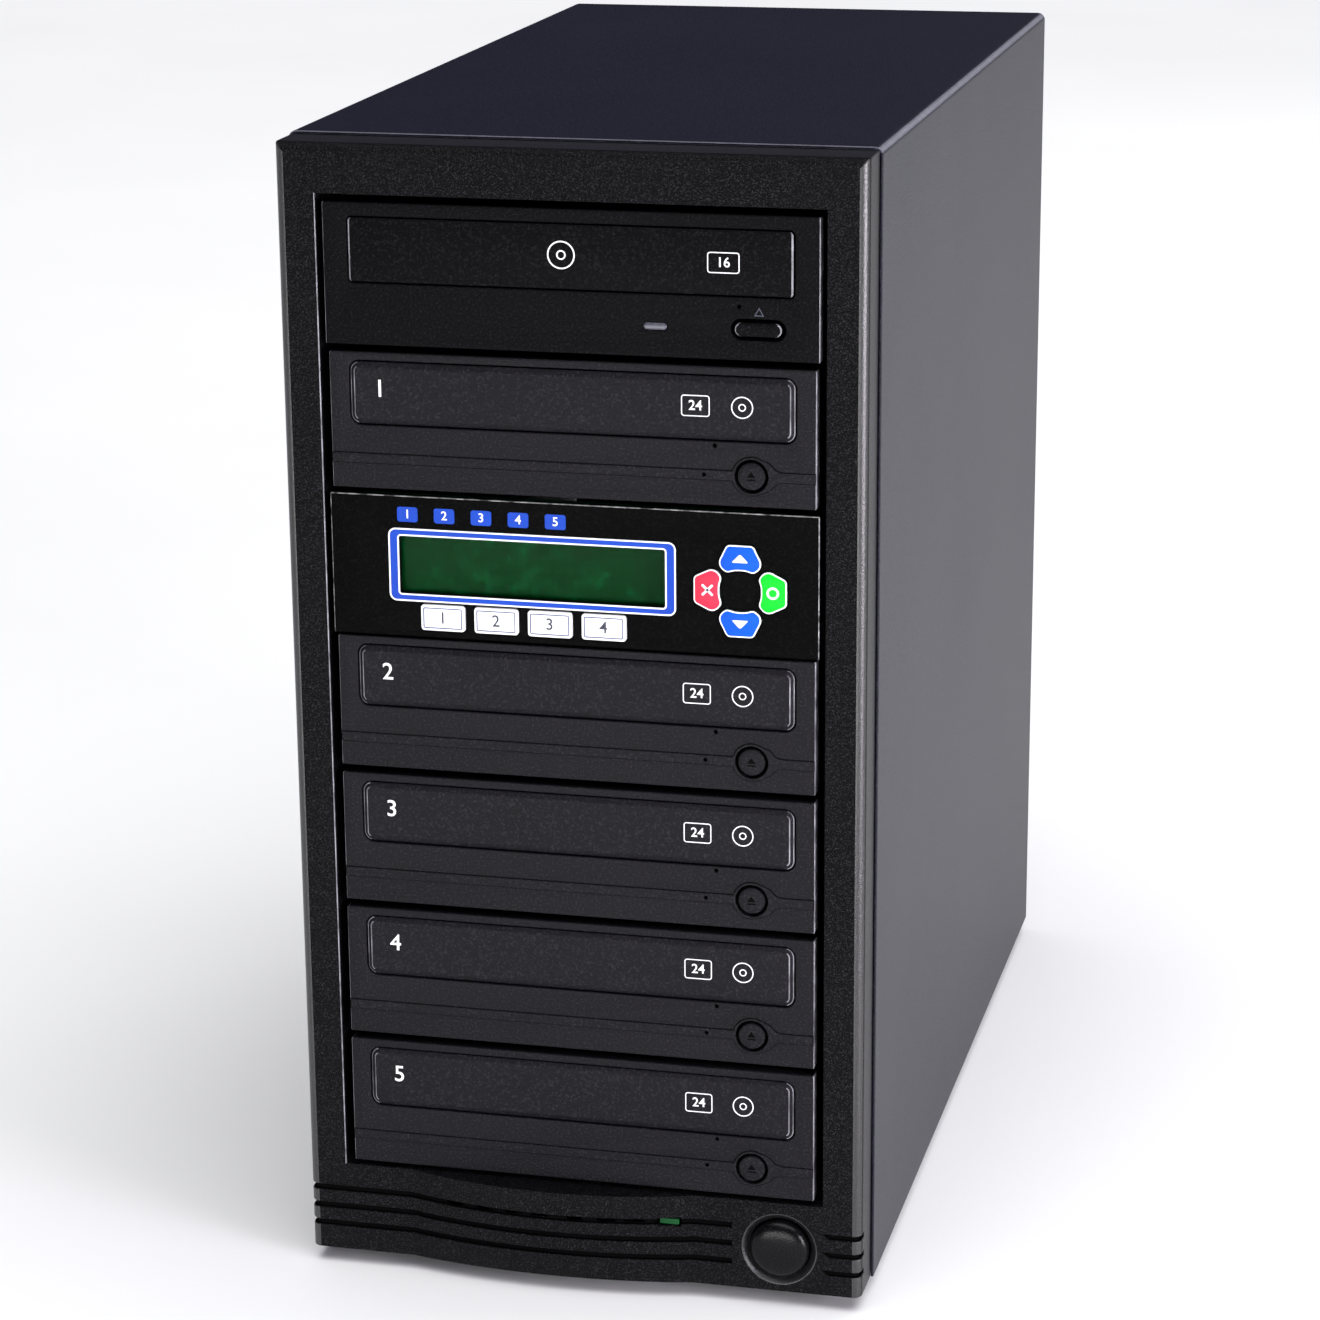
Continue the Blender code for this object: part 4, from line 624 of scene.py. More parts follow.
def soft_points(corners, radius, steps=5):
    """A polygon's outline with each corner rounded, starting that far from it."""
    points = []
    count = len(corners)
    for number in range(count):
        corner = Vector(corners[number])
        before = Vector(corners[number - 1]) - corner
        after = Vector(corners[(number + 1) % count]) - corner
        start = corner + before.normalized() * min(radius, before.length * 0.48)
        end = corner + after.normalized() * min(radius, after.length * 0.48)
        for step in range(steps + 1):
            share = step / steps
            spot = start * (1 - share) ** 2 + corner * 2 * share * (1 - share) + end * share**2
            points.append((spot.x, spot.y))
    return points


def plate(name, outlines, front, back, edge=0.0, steps=3):
    """A flat piece seen from the front: outlines with holes, and edges rounded by edge."""
    curve = bpy.data.curves.new(name, "CURVE")
    curve.dimensions = "2D"
    curve.fill_mode = "BOTH"
    for outline in outlines:
        spline = curve.splines.new("POLY")
        spline.points.add(len(outline) - 1)
        for point, (across, up) in zip(spline.points, outline):
            point.co = (across, up, 0, 1)
        spline.use_cyclic_u = True
    curve.extrude = (back - front) / 2 - edge
    curve.bevel_depth = edge
    curve.bevel_resolution = steps
    curve.offset = -edge
    made = linked(name, curve)
    mesh = settled(made, name)
    mesh.transform(Matrix.Translation((0, (front + back) / 2, 0)) @ UPRIGHT)
    form = bmesh.new()
    form.from_mesh(mesh)
    bmesh.ops.remove_doubles(form, verts=form.verts, dist=WELD)
    form.to_mesh(mesh)
    form.free()
    return smooth(mesh, 40)


def grown(outline, amount):
    """An outline moved outwards by the amount, or inwards by a negative one."""
    count = len(outline)
    area = sum(
        outline[i - 1][0] * outline[i][1] - outline[i][0] * outline[i - 1][1] for i in range(count)
    )
    turn = 1 if area > 0 else -1
    points = []
    for number in range(count):
        spot = Vector(outline[number])
        before = (spot - Vector(outline[number - 1])).normalized()
        after = (Vector(outline[(number + 1) % count]) - spot).normalized()
        along = (before + after).normalized()
        lean = max(0.35, along.dot(after))
        away = Vector((along.y, -along.x)) * turn
        moved = spot + away * amount / lean
        points.append((moved.x, moved.y))
    return points


def pillow(name, rings, smoothing=40):
    """A closed piece through outlines of equal length, each with its depth, from back to front."""
    form = bmesh.new()
    made = []
    for outline, depth in rings:
        made.append([form.verts.new((across, depth, up)) for across, up in outline])
    count = len(made[0])
    for lower, upper in zip(made, made[1:]):
        for number in range(count):
            after = (number + 1) % count
            form.faces.new((lower[number], lower[after], upper[after], upper[number]))
    form.faces.new(made[0])
    form.faces.new(made[-1])
    bmesh.ops.recalc_face_normals(form, faces=form.faces)
    mesh = bpy.data.meshes.new(name)
    form.to_mesh(mesh)
    form.free()
    return smooth(mesh, smoothing)


def lathe(name, profile, sides):
    """A round piece facing the front: pairs of radius and depth, from back to front."""
    rings = [(circle_points((0, 0), radius, sides), depth) for radius, depth in profile]
    return pillow(name, rings)


def lettering(name, words, height):
    """Plain numerals standing on the front of something, centred."""
    curve = bpy.data.curves.new(name, "FONT")
    curve.body = words
    curve.size = height / 0.7
    curve.extrude = PRINT_HALF
    curve.offset = 0.05 * MM
    curve.resolution_u = 4
    curve.align_x = "CENTER"
    curve.align_y = "CENTER"
    mesh = settled(linked(name, curve), name)
    mesh.transform(UPRIGHT)
    return mesh


def joined(name, meshes):
    """Several meshes as one."""
    form = bmesh.new()
    for mesh in meshes:
        form.from_mesh(mesh)
        bpy.data.meshes.remove(mesh)
    mesh = bpy.data.meshes.new(name)
    form.to_mesh(mesh)
    form.free()
    return mesh


def moved(mesh, across=0.0, depth=0.0, up=0.0):
    mesh.transform(Matrix.Translation((across, depth, up)))
    return mesh


def block(low, high, edge):
    """A box with its edges rounded."""
    form = bmesh.new()
    bmesh.ops.create_cube(form, size=1)
    for vert in form.verts:
        vert.co = Vector([a + (b - a) * (c + 0.5) for a, b, c in zip(low, high, vert.co)])
    bmesh.ops.bevel(form, geom=form.edges[:], offset=edge, segments=2, profile=0.5, affect="EDGES")
    mesh = bpy.data.meshes.new("block")
    form.to_mesh(mesh)
    form.free()
    return smooth(mesh, 50)


def ring(name, outline, width, front, back):
    """A band along the inside of an outline."""
    return plate(name, [outline, grown(outline, -width)], front, back, steps=1)


def printed_ring(name, outline, width, depth):
    """A printed band along the inside of an outline."""
    return ring(name, outline, width, depth - PRINT_HALF, depth + PRINT_HALF)


# Case

def in_a_cut(middle):
    """Whether a place lies in one of the grooves or notches of the bezel's foot."""
    if middle.y > FRONT_Y + CUT_REACH:
        return False
    on_right = middle.x > NOTCH_LEFT_X
    heights, half = (NOTCH_ZS, NOTCH_HALF) if on_right else (GROOVE_ZS, GROOVE_HALF)
    return any(abs(middle.z - height) < half for height in heights)


BEZEL_LOOKS = (BEZEL, BEZEL_SIDE_LIT, BEZEL_ROUND_HIGHLIGHT, FACE_EDGE_HIGHLIGHT, DARK_PRINT_AND_SHADE, WELL_HIGHLIGHT)


def finish_bezel(piece):
    """Sets which of its looks each face of the bezel has: painted light on its sides and top, painted
    highlights on its side roundings, its button's well and its opening's left rim, and painted shade
    in its grooves and notches.
    """
    for face in piece.data.polygons:
        middle, slant = face.center, abs(face.normal.y)
        outside = abs(middle.x) > OUTER_X or middle.z > OUTER_Z
        from_button = math.hypot(middle.x - POWER_PLACE[0], middle.z - POWER_PLACE[1])
        in_well = WELL_RADII[0] < from_button < WELL_RADII[1]
        on_rim = RIM_XS[0] < middle.x < RIM_XS[1] and middle.z > RIM_LOW_Z
        look = BEZEL
        if in_well:
            # The well's sloping wall gets a painted highlight.
            look = WELL_HIGHLIGHT if slant < FLAT else BEZEL
        elif in_a_cut(middle):
            # The grooves and notches get painted shade.
            look = DARK_PRINT_AND_SHADE
        elif outside and slant < SIDE:
            # The bezel's sides and top get painted light.
            look = BEZEL_SIDE_LIT
        elif abs(middle.x) > OUTER_X and ROUNDED < slant < FLAT:
            # The side roundings get a painted highlight.
            look = BEZEL_ROUND_HIGHLIGHT
        elif on_rim and EDGED < slant < FLAT:
            # The opening's left rim gets a painted highlight.
            look = FACE_EDGE_HIGHLIGHT
        face.material_index = BEZEL_LOOKS.index(look)


def finish_cover(piece):
    """Lightens the cover's folds and the top of its front edge: a painted highlight."""
    low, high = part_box("case_cover")
    for face in piece.data.polygons:
        on_fold = abs(face.normal.x) > 0.5 and face.normal.z > 0.5
        if face.center.y < low[1] + 1.0 * MM:
            face.material_index = 1 if face.center.z > high[2] - 1.5 * MM else 0
        elif on_fold:
            face.material_index = 1


finish_cover(rounded_node("case_cover", (POWDER, POWDER_EDGE_HIGHLIGHT), 0.35 * MM, segments=3))
finish_bezel(rounded_node("front_bezel", BEZEL_LOOKS, 0.3 * MM))
rounded_node("rear_panel", (STEEL,), 0.2 * MM)


# Drives

def door(kind, size, centre_z, corner):
    """A tray door with the edge that its kind has."""
    if kind == "writer":
        steps = ((0, DOOR_BACK), (0, 1.3 * MM), (0.1 * MM, 0.95 * MM), (0.4 * MM, 0.76 * MM),
                 (1.25 * MM, 0.28 * MM), (1.6 * MM, 0.12 * MM), (2.0 * MM, DOOR_FRONT))
        highlight_band_numbers = (2, 4)
    else:
        steps = ((0, DOOR_BACK), (0, 0.75 * MM), (0.08 * MM, 0.4 * MM), (0.28 * MM, 0.2 * MM),
                 (0.6 * MM, DOOR_FRONT))
        highlight_band_numbers = (2, 3)
    rings = []
    for inset, depth in steps:
        outline = round_points(
            size[0] - 2 * inset, size[1] - 2 * inset, max(corner - inset, 0.25 * MM), (0, centre_z)
        )
        rings.append((outline, depth))
    # The sides of the listed bands get a painted highlight.
    return worn_bands(pillow(kind + "_door", rings, 25), len(rings[0][0]), highlight_band_numbers)


def writer_face():
    """The writer's face with its openings."""
    outer = round_points(*WRITER_FACE, 0.5 * MM, (0, WRITER_FACE[1] / 2))
    opening = round_points(
        WRITER_DOOR[0] + 2 * DOOR_GAP, WRITER_DOOR[1] + 2 * DOOR_GAP, WRITER_DOOR_CORNER + DOOR_GAP,
        (0, WRITER_DOOR_Z),
    )
    holes = [
        opening,
        circle_points(WRITER_BUTTON, WRITER_GROOVE_RADIUS, 48),
        circle_points(WRITER_PIN, HOLE_RADIUS, 16),
        circle_points(WRITER_LAMP, HOLE_RADIUS, 16),
    ]
    face = plate("writer_face", [outer] + holes, FACE_FRONT, FACE_BACK, 0.35 * MM)
    return worn_sides(face, WRITER_FACE[0] / 2)


def rib_points():
    """The outline of the low rib across the writer's face, flaring round the button on its right."""
    centre_x, centre_z = WRITER_BUTTON
    half = 1.45 * MM
    reach = WRITER_FACE[0] / 2 - 0.35 * MM
    rim = WRITER_GROOVE_RADIUS + 0.75 * MM
    flare = ((9.6, 1.45), (8.4, 1.6), (7.5, 2.0), (6.8, 2.6), (6.1, 3.4), (5.3, 4.1))
    upper = [(reach, half)] + [(centre_x + x * MM, z * MM) for x, z in flare]
    for step in range(9):
        angle = math.radians(62 + step * 12.2)
        upper.append((centre_x + rim * math.cos(angle), rim * math.sin(angle)))
    turn_in = math.asin(half / rim)
    upper.append((centre_x - rim * math.cos(turn_in), half))
    upper.append((-reach, half))
    points = [(x, centre_z + z) for x, z in upper]
    return points + [(x, centre_z - z) for x, z in reversed(upper)]


def writer_rib():
    """The rib itself, with the button's and the lamp's holes in it."""
    holes = [
        circle_points(WRITER_BUTTON, WRITER_GROOVE_RADIUS + 0.05 * MM, 48),
        circle_points(WRITER_LAMP, HOLE_RADIUS, 16),
    ]
    return plate("writer_rib", [rib_points()] + holes, -0.05 * MM, FACE_FRONT + 0.6 * MM, 0.2 * MM)


def writer_rib_seam():
    """A fine dark band round the rib: painted shade where the rib's edges meet the face."""
    outline = rib_points()
    return plate(
        "rib_seam", [grown(outline, 0.2 * MM), grown(outline, -0.12 * MM)],
        FACE_FRONT - 0.06 * MM, FACE_FRONT + 0.1 * MM,
    )


def writer_button():
    radius = WRITER_BUTTON_RADIUS
    profile = (
        (radius, 6.5 * MM), (radius, 0.5 * MM), (radius - 0.12 * MM, 0.15 * MM),
        (radius - 0.45 * MM, -0.02 * MM), (radius - 1.2 * MM, -0.12 * MM),
        (radius - 2.6 * MM, -0.19 * MM), (0.4 * MM, -0.2 * MM),
    )
    return lathe("writer_button", profile, 48)


def eject_mark(size):
    """A triangle over a short bar."""
    triangle = ((-0.5, -0.1), (0.5, -0.1), (0, 0.6))
    bar = ((-0.5, -0.45), (0.5, -0.45), (0.5, -0.27), (-0.5, -0.27))
    forms = []
    for corners in (triangle, bar):
        outline = [(x * size, z * size) for x, z in corners]
        forms.append(plate("form", [outline], -0.02 * MM, 0.02 * MM))
    return joined("eject_mark", forms)


def reader_face():
    outer = round_points(*READER_FACE, 0.5 * MM, (0, READER_FACE[1] / 2 - 0.2 * MM))
    opening = round_points(
        READER_DOOR[0] + 2 * DOOR_GAP, READER_DOOR[1] + 2 * DOOR_GAP, READER_DOOR_CORNER + DOOR_GAP,
        (0, READER_DOOR_Z),
    )
    button_hole = round_points(
        READER_BUTTON_SIZE[0] + 2.4 * MM, READER_BUTTON_SIZE[1] + 2.2 * MM,
        READER_BUTTON_SIZE[1] / 2 + 1.09 * MM, READER_BUTTON, 10,
    )
    lamp_hole = round_points(*READER_LAMP_SIZE, READER_LAMP_SIZE[1] / 2 - 0.01 * MM, READER_LAMP, 8)
    holes = [opening, button_hole, lamp_hole, circle_points(READER_PIN, HOLE_RADIUS, 16)]
    face = plate("reader_face", [outer] + holes, FACE_FRONT, FACE_BACK, 0.4 * MM)
    return worn_sides(face, READER_FACE[0] / 2)


def oblong(name, size, centre, steps, points=10):
    """A pill-shaped piece: pairs of inset and depth from back to front."""
    rings = []
    for inset, depth in steps:
        outline = round_points(
            size[0] - 2 * inset, size[1] - 2 * inset, size[1] / 2 - inset - 0.01 * MM, centre, points
        )
        rings.append((outline, depth))
    return pillow(name, rings, 40)


def number_mark(name, digits, height, across, up, depth):
    return moved(lettering(name, digits, height), across, depth, up)


def framed_number(name, digits, centre, size, depth):
    """A small number in a thin outlined box."""
    box = printed_ring(name + "_box", round_points(*size, 0.9 * MM, centre), 0.32 * MM, depth)
    number = number_mark(name + "_digits", digits, size[1] * 0.46, *centre, depth)
    return [box, number]


def disc_mark(centre, rim, hub, width):
    """Two plain rings on a door, each given as its radius and its number of sides."""
    return [
        printed_ring(name, circle_points(centre, radius, sides), width, DOOR_FRONT)
        for name, (radius, sides) in (("disc_rim", rim), ("disc_hub", hub))
    ]


def make_writer(bay, number):
    at = bay_place(bay)
    tray_body, button_body = bay + "_tray", bay + "_eject_button"
    both = (FACE, FACE_EDGE_HIGHLIGHT)
    show(writer_face(), bay + "_face_look", "tower", both, at, (bay + "_face",))
    show(writer_rib(), bay + "_face_rib", "tower", FACE, at)
    # A dark band round the rib: painted shade along its edges.
    show(writer_rib_seam(), bay + "_rib_seam", "tower", DARK_PRINT_AND_SHADE, at)
    front = door("writer", WRITER_DOOR, WRITER_DOOR_Z, WRITER_DOOR_CORNER)
    show(front, bay + "_door_look", tray_body, both, at, (bay + "_tray_door",))
    digit_place = (-58.5 * MM, WRITER_DOOR_Z + 1.3 * MM)
    mark_z = WRITER_DOOR_Z + 0.6 * MM
    marks = [number_mark("left_digits", str(number), 5.2 * MM, *digit_place, DOOR_FRONT)]
    marks += framed_number("speed", "24", (38.0 * MM, mark_z), (8.6 * MM, 6.4 * MM), DOOR_FRONT)
    marks += disc_mark((52.0 * MM, mark_z), (3.3 * MM, 40), (1.15 * MM, 24), 0.35 * MM)
    show(joined(bay + "_door_marks", marks), bay + "_door_marks", tray_body, PRINT, at)
    button_at = at + Vector((WRITER_BUTTON[0], 0, WRITER_BUTTON[1]))
    show(
        writer_button(), bay + "_button_look", button_body, FACE, button_at,
        (bay + "_eject_button",),
    )
    mark = moved(eject_mark(2.6 * MM), 0, -0.2 * MM, 0)
    show(mark, bay + "_button_mark", button_body, DARK_PRINT_AND_SHADE, button_at)


def make_reader(bay):
    at = bay_place(bay)
    tray_body, button_body = bay + "_tray", bay + "_eject_button"
    both = (READER_FINISH, FACE_EDGE_HIGHLIGHT)
    show(reader_face(), bay + "_face_look", "tower", both, at, (bay + "_face",))
    front = door("reader", READER_DOOR, READER_DOOR_Z, READER_DOOR_CORNER)
    show(front, bay + "_door_look", tray_body, both, at, (bay + "_tray_door",))
    disc_centre = (-2.0 * MM, READER_DOOR_Z + 0.6 * MM)
    marks = disc_mark(disc_centre, (4.2 * MM, 48), (1.45 * MM, 28), 0.45 * MM)
    marks += framed_number("speed", "16", (46.5 * MM, READER_DOOR_Z), (9.6 * MM, 6.2 * MM), DOOR_FRONT)
    show(joined(bay + "_door_marks", marks), bay + "_door_marks", tray_body, PRINT, at)
    button = oblong(
        bay + "_button", READER_BUTTON_SIZE, READER_BUTTON,
        (
            (0, 6.5 * MM), (0, 0.75 * MM), (0.12 * MM, 0.45 * MM), (0.4 * MM, 0.3 * MM),
            (1.0 * MM, 0.24 * MM),
        ),
    )
    button = worn_bands(button, 44, (1, 2))
    show(button, bay + "_button_look", button_body, both, at, (bay + "_eject_button",))
    lens = oblong(
        bay + "_lens", (READER_LAMP_SIZE[0] - 0.2 * MM, READER_LAMP_SIZE[1] - 0.2 * MM), READER_LAMP,
        ((0, 3.0 * MM), (0, 0.5 * MM), (0.15 * MM, 0.35 * MM), (0.5 * MM, 0.28 * MM)), 8,
    )
    show(lens, bay + "_lamp_look", "tower", CLEAR_LENS, at)
    mark_x, mark_z = READER_MARK
    triangle = [
        (mark_x - 1.5 * MM, mark_z - 1.2 * MM), (mark_x + 1.5 * MM, mark_z - 1.2 * MM),
        (mark_x, mark_z + 1.4 * MM),
    ]
    show(
        ring("mark", triangle, 0.28 * MM, FACE_FRONT - 0.1 * MM, FACE_FRONT + 0.1 * MM),
        bay + "_eject_mark", "tower", GREY_PRINT, at,
    )


make_reader("reader")
for number in range(1, 6):
    make_writer(f"writer_{number}", number)


# Control panel

def make_panel():
    at = bay_place("controller")
    outline = round_points(*PANEL_SIZE, 0.35 * MM, (0, PANEL_Z))
    holes = [round_points(*WINDOW, 1.0 * MM, WINDOW_PLACE)]
    for key_x in KEY_XS:
        holes.append(
            round_points(KEY_SIZE[0] + 0.5 * MM, KEY_SIZE[1] + 0.5 * MM, 1.2 * MM, (key_x, KEY_Z))
        )
    for turns in range(4):
        holes.append(grown(petal_points(turns), 0.2 * MM))
    front = plate("panel", [outline] + holes, PANEL_FRONT, PANEL_BACK, 0.3 * MM, 2)
    front = worn_border(front, PANEL_SIZE, PANEL_Z)
    show(
        front, "controller_panel_look", "tower", (OVERLAY, OVERLAY_EDGE_HIGHLIGHT), at,
        ("controller_panel",),
    )
    start = PANEL_BACK - 0.1 * MM
    arms = []
    for side in (-1, 1):
        across = side * ARM_X
        low = (across - ARM_HALF, start, ARM_ZS[0])
        high = (across + ARM_HALF, PANEL_BACK + ARM_LENGTH, ARM_ZS[1])
        arms.append(block(low, high, 0.3 * MM))
        for post_z in POST_ZS:
            post = circle_points((side * POST_X, post_z), POST_RADIUS, 24)
            arms.append(plate("post", [post], start, BOARD_FRONT))
    show(joined("arms", arms), "controller_arms", "tower", OVERLAY, at)
    rounded_node("display_window", (GLASS,), 0.15 * MM)
    surface, under = PANEL_FRONT - 0.05 * MM, PANEL_FRONT + 0.05 * MM
    outer = round_points(WINDOW[0] + 6.8 * MM, WINDOW[1] + 5.0 * MM, 2.3 * MM, WINDOW_PLACE)
    inner = round_points(WINDOW[0] + 1.2 * MM, WINDOW[1] + 1.2 * MM, 1.2 * MM, WINDOW_PLACE)
    white = [
        ring("outer_line", outer, WINDOW_LINE, surface, under),
        ring("inner_line", inner, WINDOW_LINE, surface, under),
    ]
    show(joined("window_lines", white), "window_lines", "tower", PRINT, at)
    band = plate("window_band", [grown(outer, -WINDOW_LINE), inner], surface, under)
    show(band, "window_band", "tower", BAND, at)


def make_function_key(node, number):
    at = bay_place("controller")
    centre = (KEY_XS[number], KEY_Z)
    body = body_with(node)
    steps = (
        (0, 9.5 * MM), (0, KEY_FRONT + 0.35 * MM), (0.12 * MM, KEY_FRONT + 0.1 * MM),
        (0.4 * MM, KEY_FRONT),
    )
    rings = []
    for inset, depth in steps:
        width, height = KEY_SIZE[0] - 2 * inset, KEY_SIZE[1] - 2 * inset
        rings.append((round_points(width, height, 1.0 * MM - inset * 0.8, centre), depth))
    show(pillow(node, rings), node + "_look", body, WHITE, at, (node,))
    border = round_points(KEY_SIZE[0] - 1.5 * MM, KEY_SIZE[1] - 1.5 * MM, 0.6 * MM, centre)
    line = printed_ring("line", border, 0.36 * MM, KEY_FRONT)
    digits = number_mark("digits", str(number + 1), 3.6 * MM, *centre, KEY_FRONT)
    show(line, node + "_line", body, RIM_PRINT, at)
    show(digits, node + "_digit", body, GREY_PRINT, at)


def pad_spot(turns, across, up):
    """A place on the cursor pad, turned by quarters round the pad's middle."""
    spot = Matrix.Rotation(math.pi / 2 * turns, 2) @ Vector((across, up))
    return (PAD_PLACE[0] + spot.x, PAD_PLACE[1] + spot.y)


def petal_points(turns):
    """A cursor key's outline."""
    return soft_points([pad_spot(turns, x * MM, z * MM) for x, z in PETAL_CORNERS], 1.1 * MM)


def petal_mark(turns, depth):
    """What a cursor key shows: a triangle up or down, a cross or an open circle."""
    x, z = pad_spot(turns, 0, PETAL_MIDDLE)
    if turns == 1:
        arms = []
        for angle in (45, -45):
            outline = round_points(4.6 * MM, 0.75 * MM, 0.3 * MM)
            arm = plate("arm", [outline], -PRINT_HALF, PRINT_HALF)
            arm.transform(Matrix.Rotation(math.radians(angle), 4, "Y"))
            arms.append(moved(arm, x, depth, z))
        return joined("mark", arms)
    if turns == 3:
        return printed_ring("mark", circle_points((x, z), 1.9 * MM, 36), 0.7 * MM, depth)
    way = 1 if turns == 0 else -1
    base_z = z - way * 1.1 * MM
    corners = [(x - 2.6 * MM, base_z), (x + 2.6 * MM, base_z), (x, z + way * 1.6 * MM)]
    return plate("mark", [soft_points(corners, 0.7 * MM)], depth - PRINT_HALF, depth + PRINT_HALF)


def make_petal(node, turns, look):
    at = bay_place("controller")
    body = body_with(node)
    outline = petal_points(turns)
    cap = plate(node + "_cap", [outline], KEY_FRONT, KEY_FRONT + 0.28 * MM, 0.1 * MM, 2)
    stem = plate(node + "_stem", [grown(outline, -1.9 * MM)], KEY_FRONT + 0.2 * MM, 9.0 * MM)
    show(joined(node, [cap, stem]), node + "_look", body, WHITE, at, (node,))
    surface, under = KEY_FRONT - 0.04 * MM, KEY_FRONT + 0.05 * MM
    top = plate(node + "_top", [grown(outline, -0.42 * MM)], surface, under, 0.02 * MM, 1)
    show(top, node + "_colour", body, look, at)
    show(petal_mark(turns, surface), node + "_mark", body, PRINT, at)


def make_panel_numbers():
    """A row of plain numbered squares over the window."""
    at = bay_place("controller")
    surface, under = PANEL_FRONT - 0.05 * MM, PANEL_FRONT + 0.05 * MM
    digit_depth = PANEL_FRONT - 0.06 * MM
    squares, digits = [], []
    for number in range(5):
        centre = (SQUARE_PLACE[0] + number * SQUARE_PITCH, SQUARE_PLACE[1])
        outline = round_points(*SQUARE_SIZE, 0.8 * MM, centre)
        squares.append(plate("square", [outline], surface, under))
        digits.append(number_mark("digit", str(number + 1), 2.7 * MM, *centre, digit_depth))
    show(joined("panel_squares", squares), "panel_squares", "tower", BAND, at)
    show(joined("panel_digits", digits), "panel_digits", "tower", PRINT, at)


CURSOR_KEYS = (
    ("up_key", BLUE, "blue_key"),
    ("left_key", RED, "red_key"),
    ("down_key", BLUE, "blue_key"),
    ("right_key", GREEN, "green_key"),
)

make_panel()
make_panel_numbers()
for number in range(4):
    make_function_key(f"function_key_{number + 1}", number)
for turns, (node, look, slot) in enumerate(CURSOR_KEYS):
    make_petal(node, turns, look)


# Foot

def make_power_button():
    at = Vector((POWER_PLACE[0], FRONT_Y, POWER_PLACE[1]))
    profile = [(POWER_RADIUS - inset * MM, depth * MM) for inset, depth in DOME_PROFILE]
    show(
        lathe("power_dome", profile, 72), "power_button_look", "power_button", POWER_FINISH,
        at, ("power_button",),
    )


make_power_button()
rounded_node("power_light", (LAMP,), 0.35 * MM, segments=3)


# Rear

def screw(radius):
    """A pan-head screw facing the rear, with a dark cross standing on its head: painted shade for the
    cross cut.
    """
    profile = (
        (radius, 0), (radius, 0.5 * MM), (radius - 0.2 * MM, 1.0 * MM), (radius * 0.62, 1.5 * MM),
        (radius * 0.2, 1.6 * MM),
    )
    rings = [(circle_points((0, 0), size, 24), depth) for size, depth in profile]
    arms = []
    for size in ((radius * 1.1, radius * 0.24), (radius * 0.24, radius * 1.1)):
        arms.append(plate("arm", [round_points(*size, radius * 0.05)], 1.2 * MM, 1.63 * MM))
    return pillow("screw", rings, 30), joined("cross", arms)


def make_screws():
    """The screws of the rear fan, the power supply and the cover."""
    places = []
    for side in (-FAN_SCREW_REACH, FAN_SCREW_REACH):
        for end in (-FAN_SCREW_REACH, FAN_SCREW_REACH):
            places.append((REAR_FAN_PLACE[0] + side, REAR_FAN_PLACE[1] + end, FAN_SCREW_RADIUS))
    places += [(*place, SUPPLY_SCREW_RADIUS) for place in SUPPLY_SCREWS]
    places += [(*place, COVER_SCREW_RADIUS) for place in COVER_SCREWS]
    heads, cross_shades = [], []
    for x, z, radius in places:
        head, cross = screw(radius)
        heads.append(moved(head, x, PANEL_REAR_Y - 0.1 * MM, z))
        cross_shades.append(moved(cross, x, PANEL_REAR_Y - 0.1 * MM, z))
    show(joined("screw_heads", heads), "rear_screws", "tower", SCREW_STEEL)
    # The dark crosses are painted shade standing for the cuts in the heads.
    show(joined("screw_cross_shade", cross_shades), "rear_screw_slot_shade", "tower", DARK_PRINT_AND_SHADE)


def wire(name, points, closed, radius=0.75 * MM):
    """A bent steel wire through points."""
    curve = bpy.data.curves.new(name, "CURVE")
    curve.dimensions = "3D"
    spline = curve.splines.new("POLY")
    spline.points.add(len(points) - 1)
    for point, place in zip(spline.points, points):
        point.co = (*place, 1)
    spline.use_cyclic_u = closed
    curve.bevel_depth = radius
    curve.bevel_resolution = 2
    curve.use_fill_caps = True
    return smooth(settled(linked(name, curve), name), 60)


def make_fan_guard():
    """The wire guard over the power supply's fan: hoops on two crossed wires."""
    depth = SUPPLY_REAR_Y + 1.6 * MM
    centre_x, centre_z = SUPPLY_FAN_PLACE
    wires = []
    for radius in HOOP_RADII:
        hoop = [(x, depth, z) for x, z in circle_points(SUPPLY_FAN_PLACE, radius, 48)]
        wires.append(wire("hoop", hoop, True))
    for angle in (math.radians(45), math.radians(135)):
        points = []
        for share, place_y in (
            (-GUARD_FOOT, SUPPLY_REAR_Y - 0.4 * MM), (-1, depth - 0.9 * MM),
            (1, depth - 0.9 * MM), (GUARD_FOOT, SUPPLY_REAR_Y - 0.4 * MM),
        ):
            along = share * GUARD_REACH
            points.append(
                (centre_x + along * math.cos(angle), place_y, centre_z + along * math.sin(angle))
            )
        wires.append(wire("bar", points, False))
    show(joined("guard", wires), "supply_fan_guard", "tower", SCREW_STEEL)


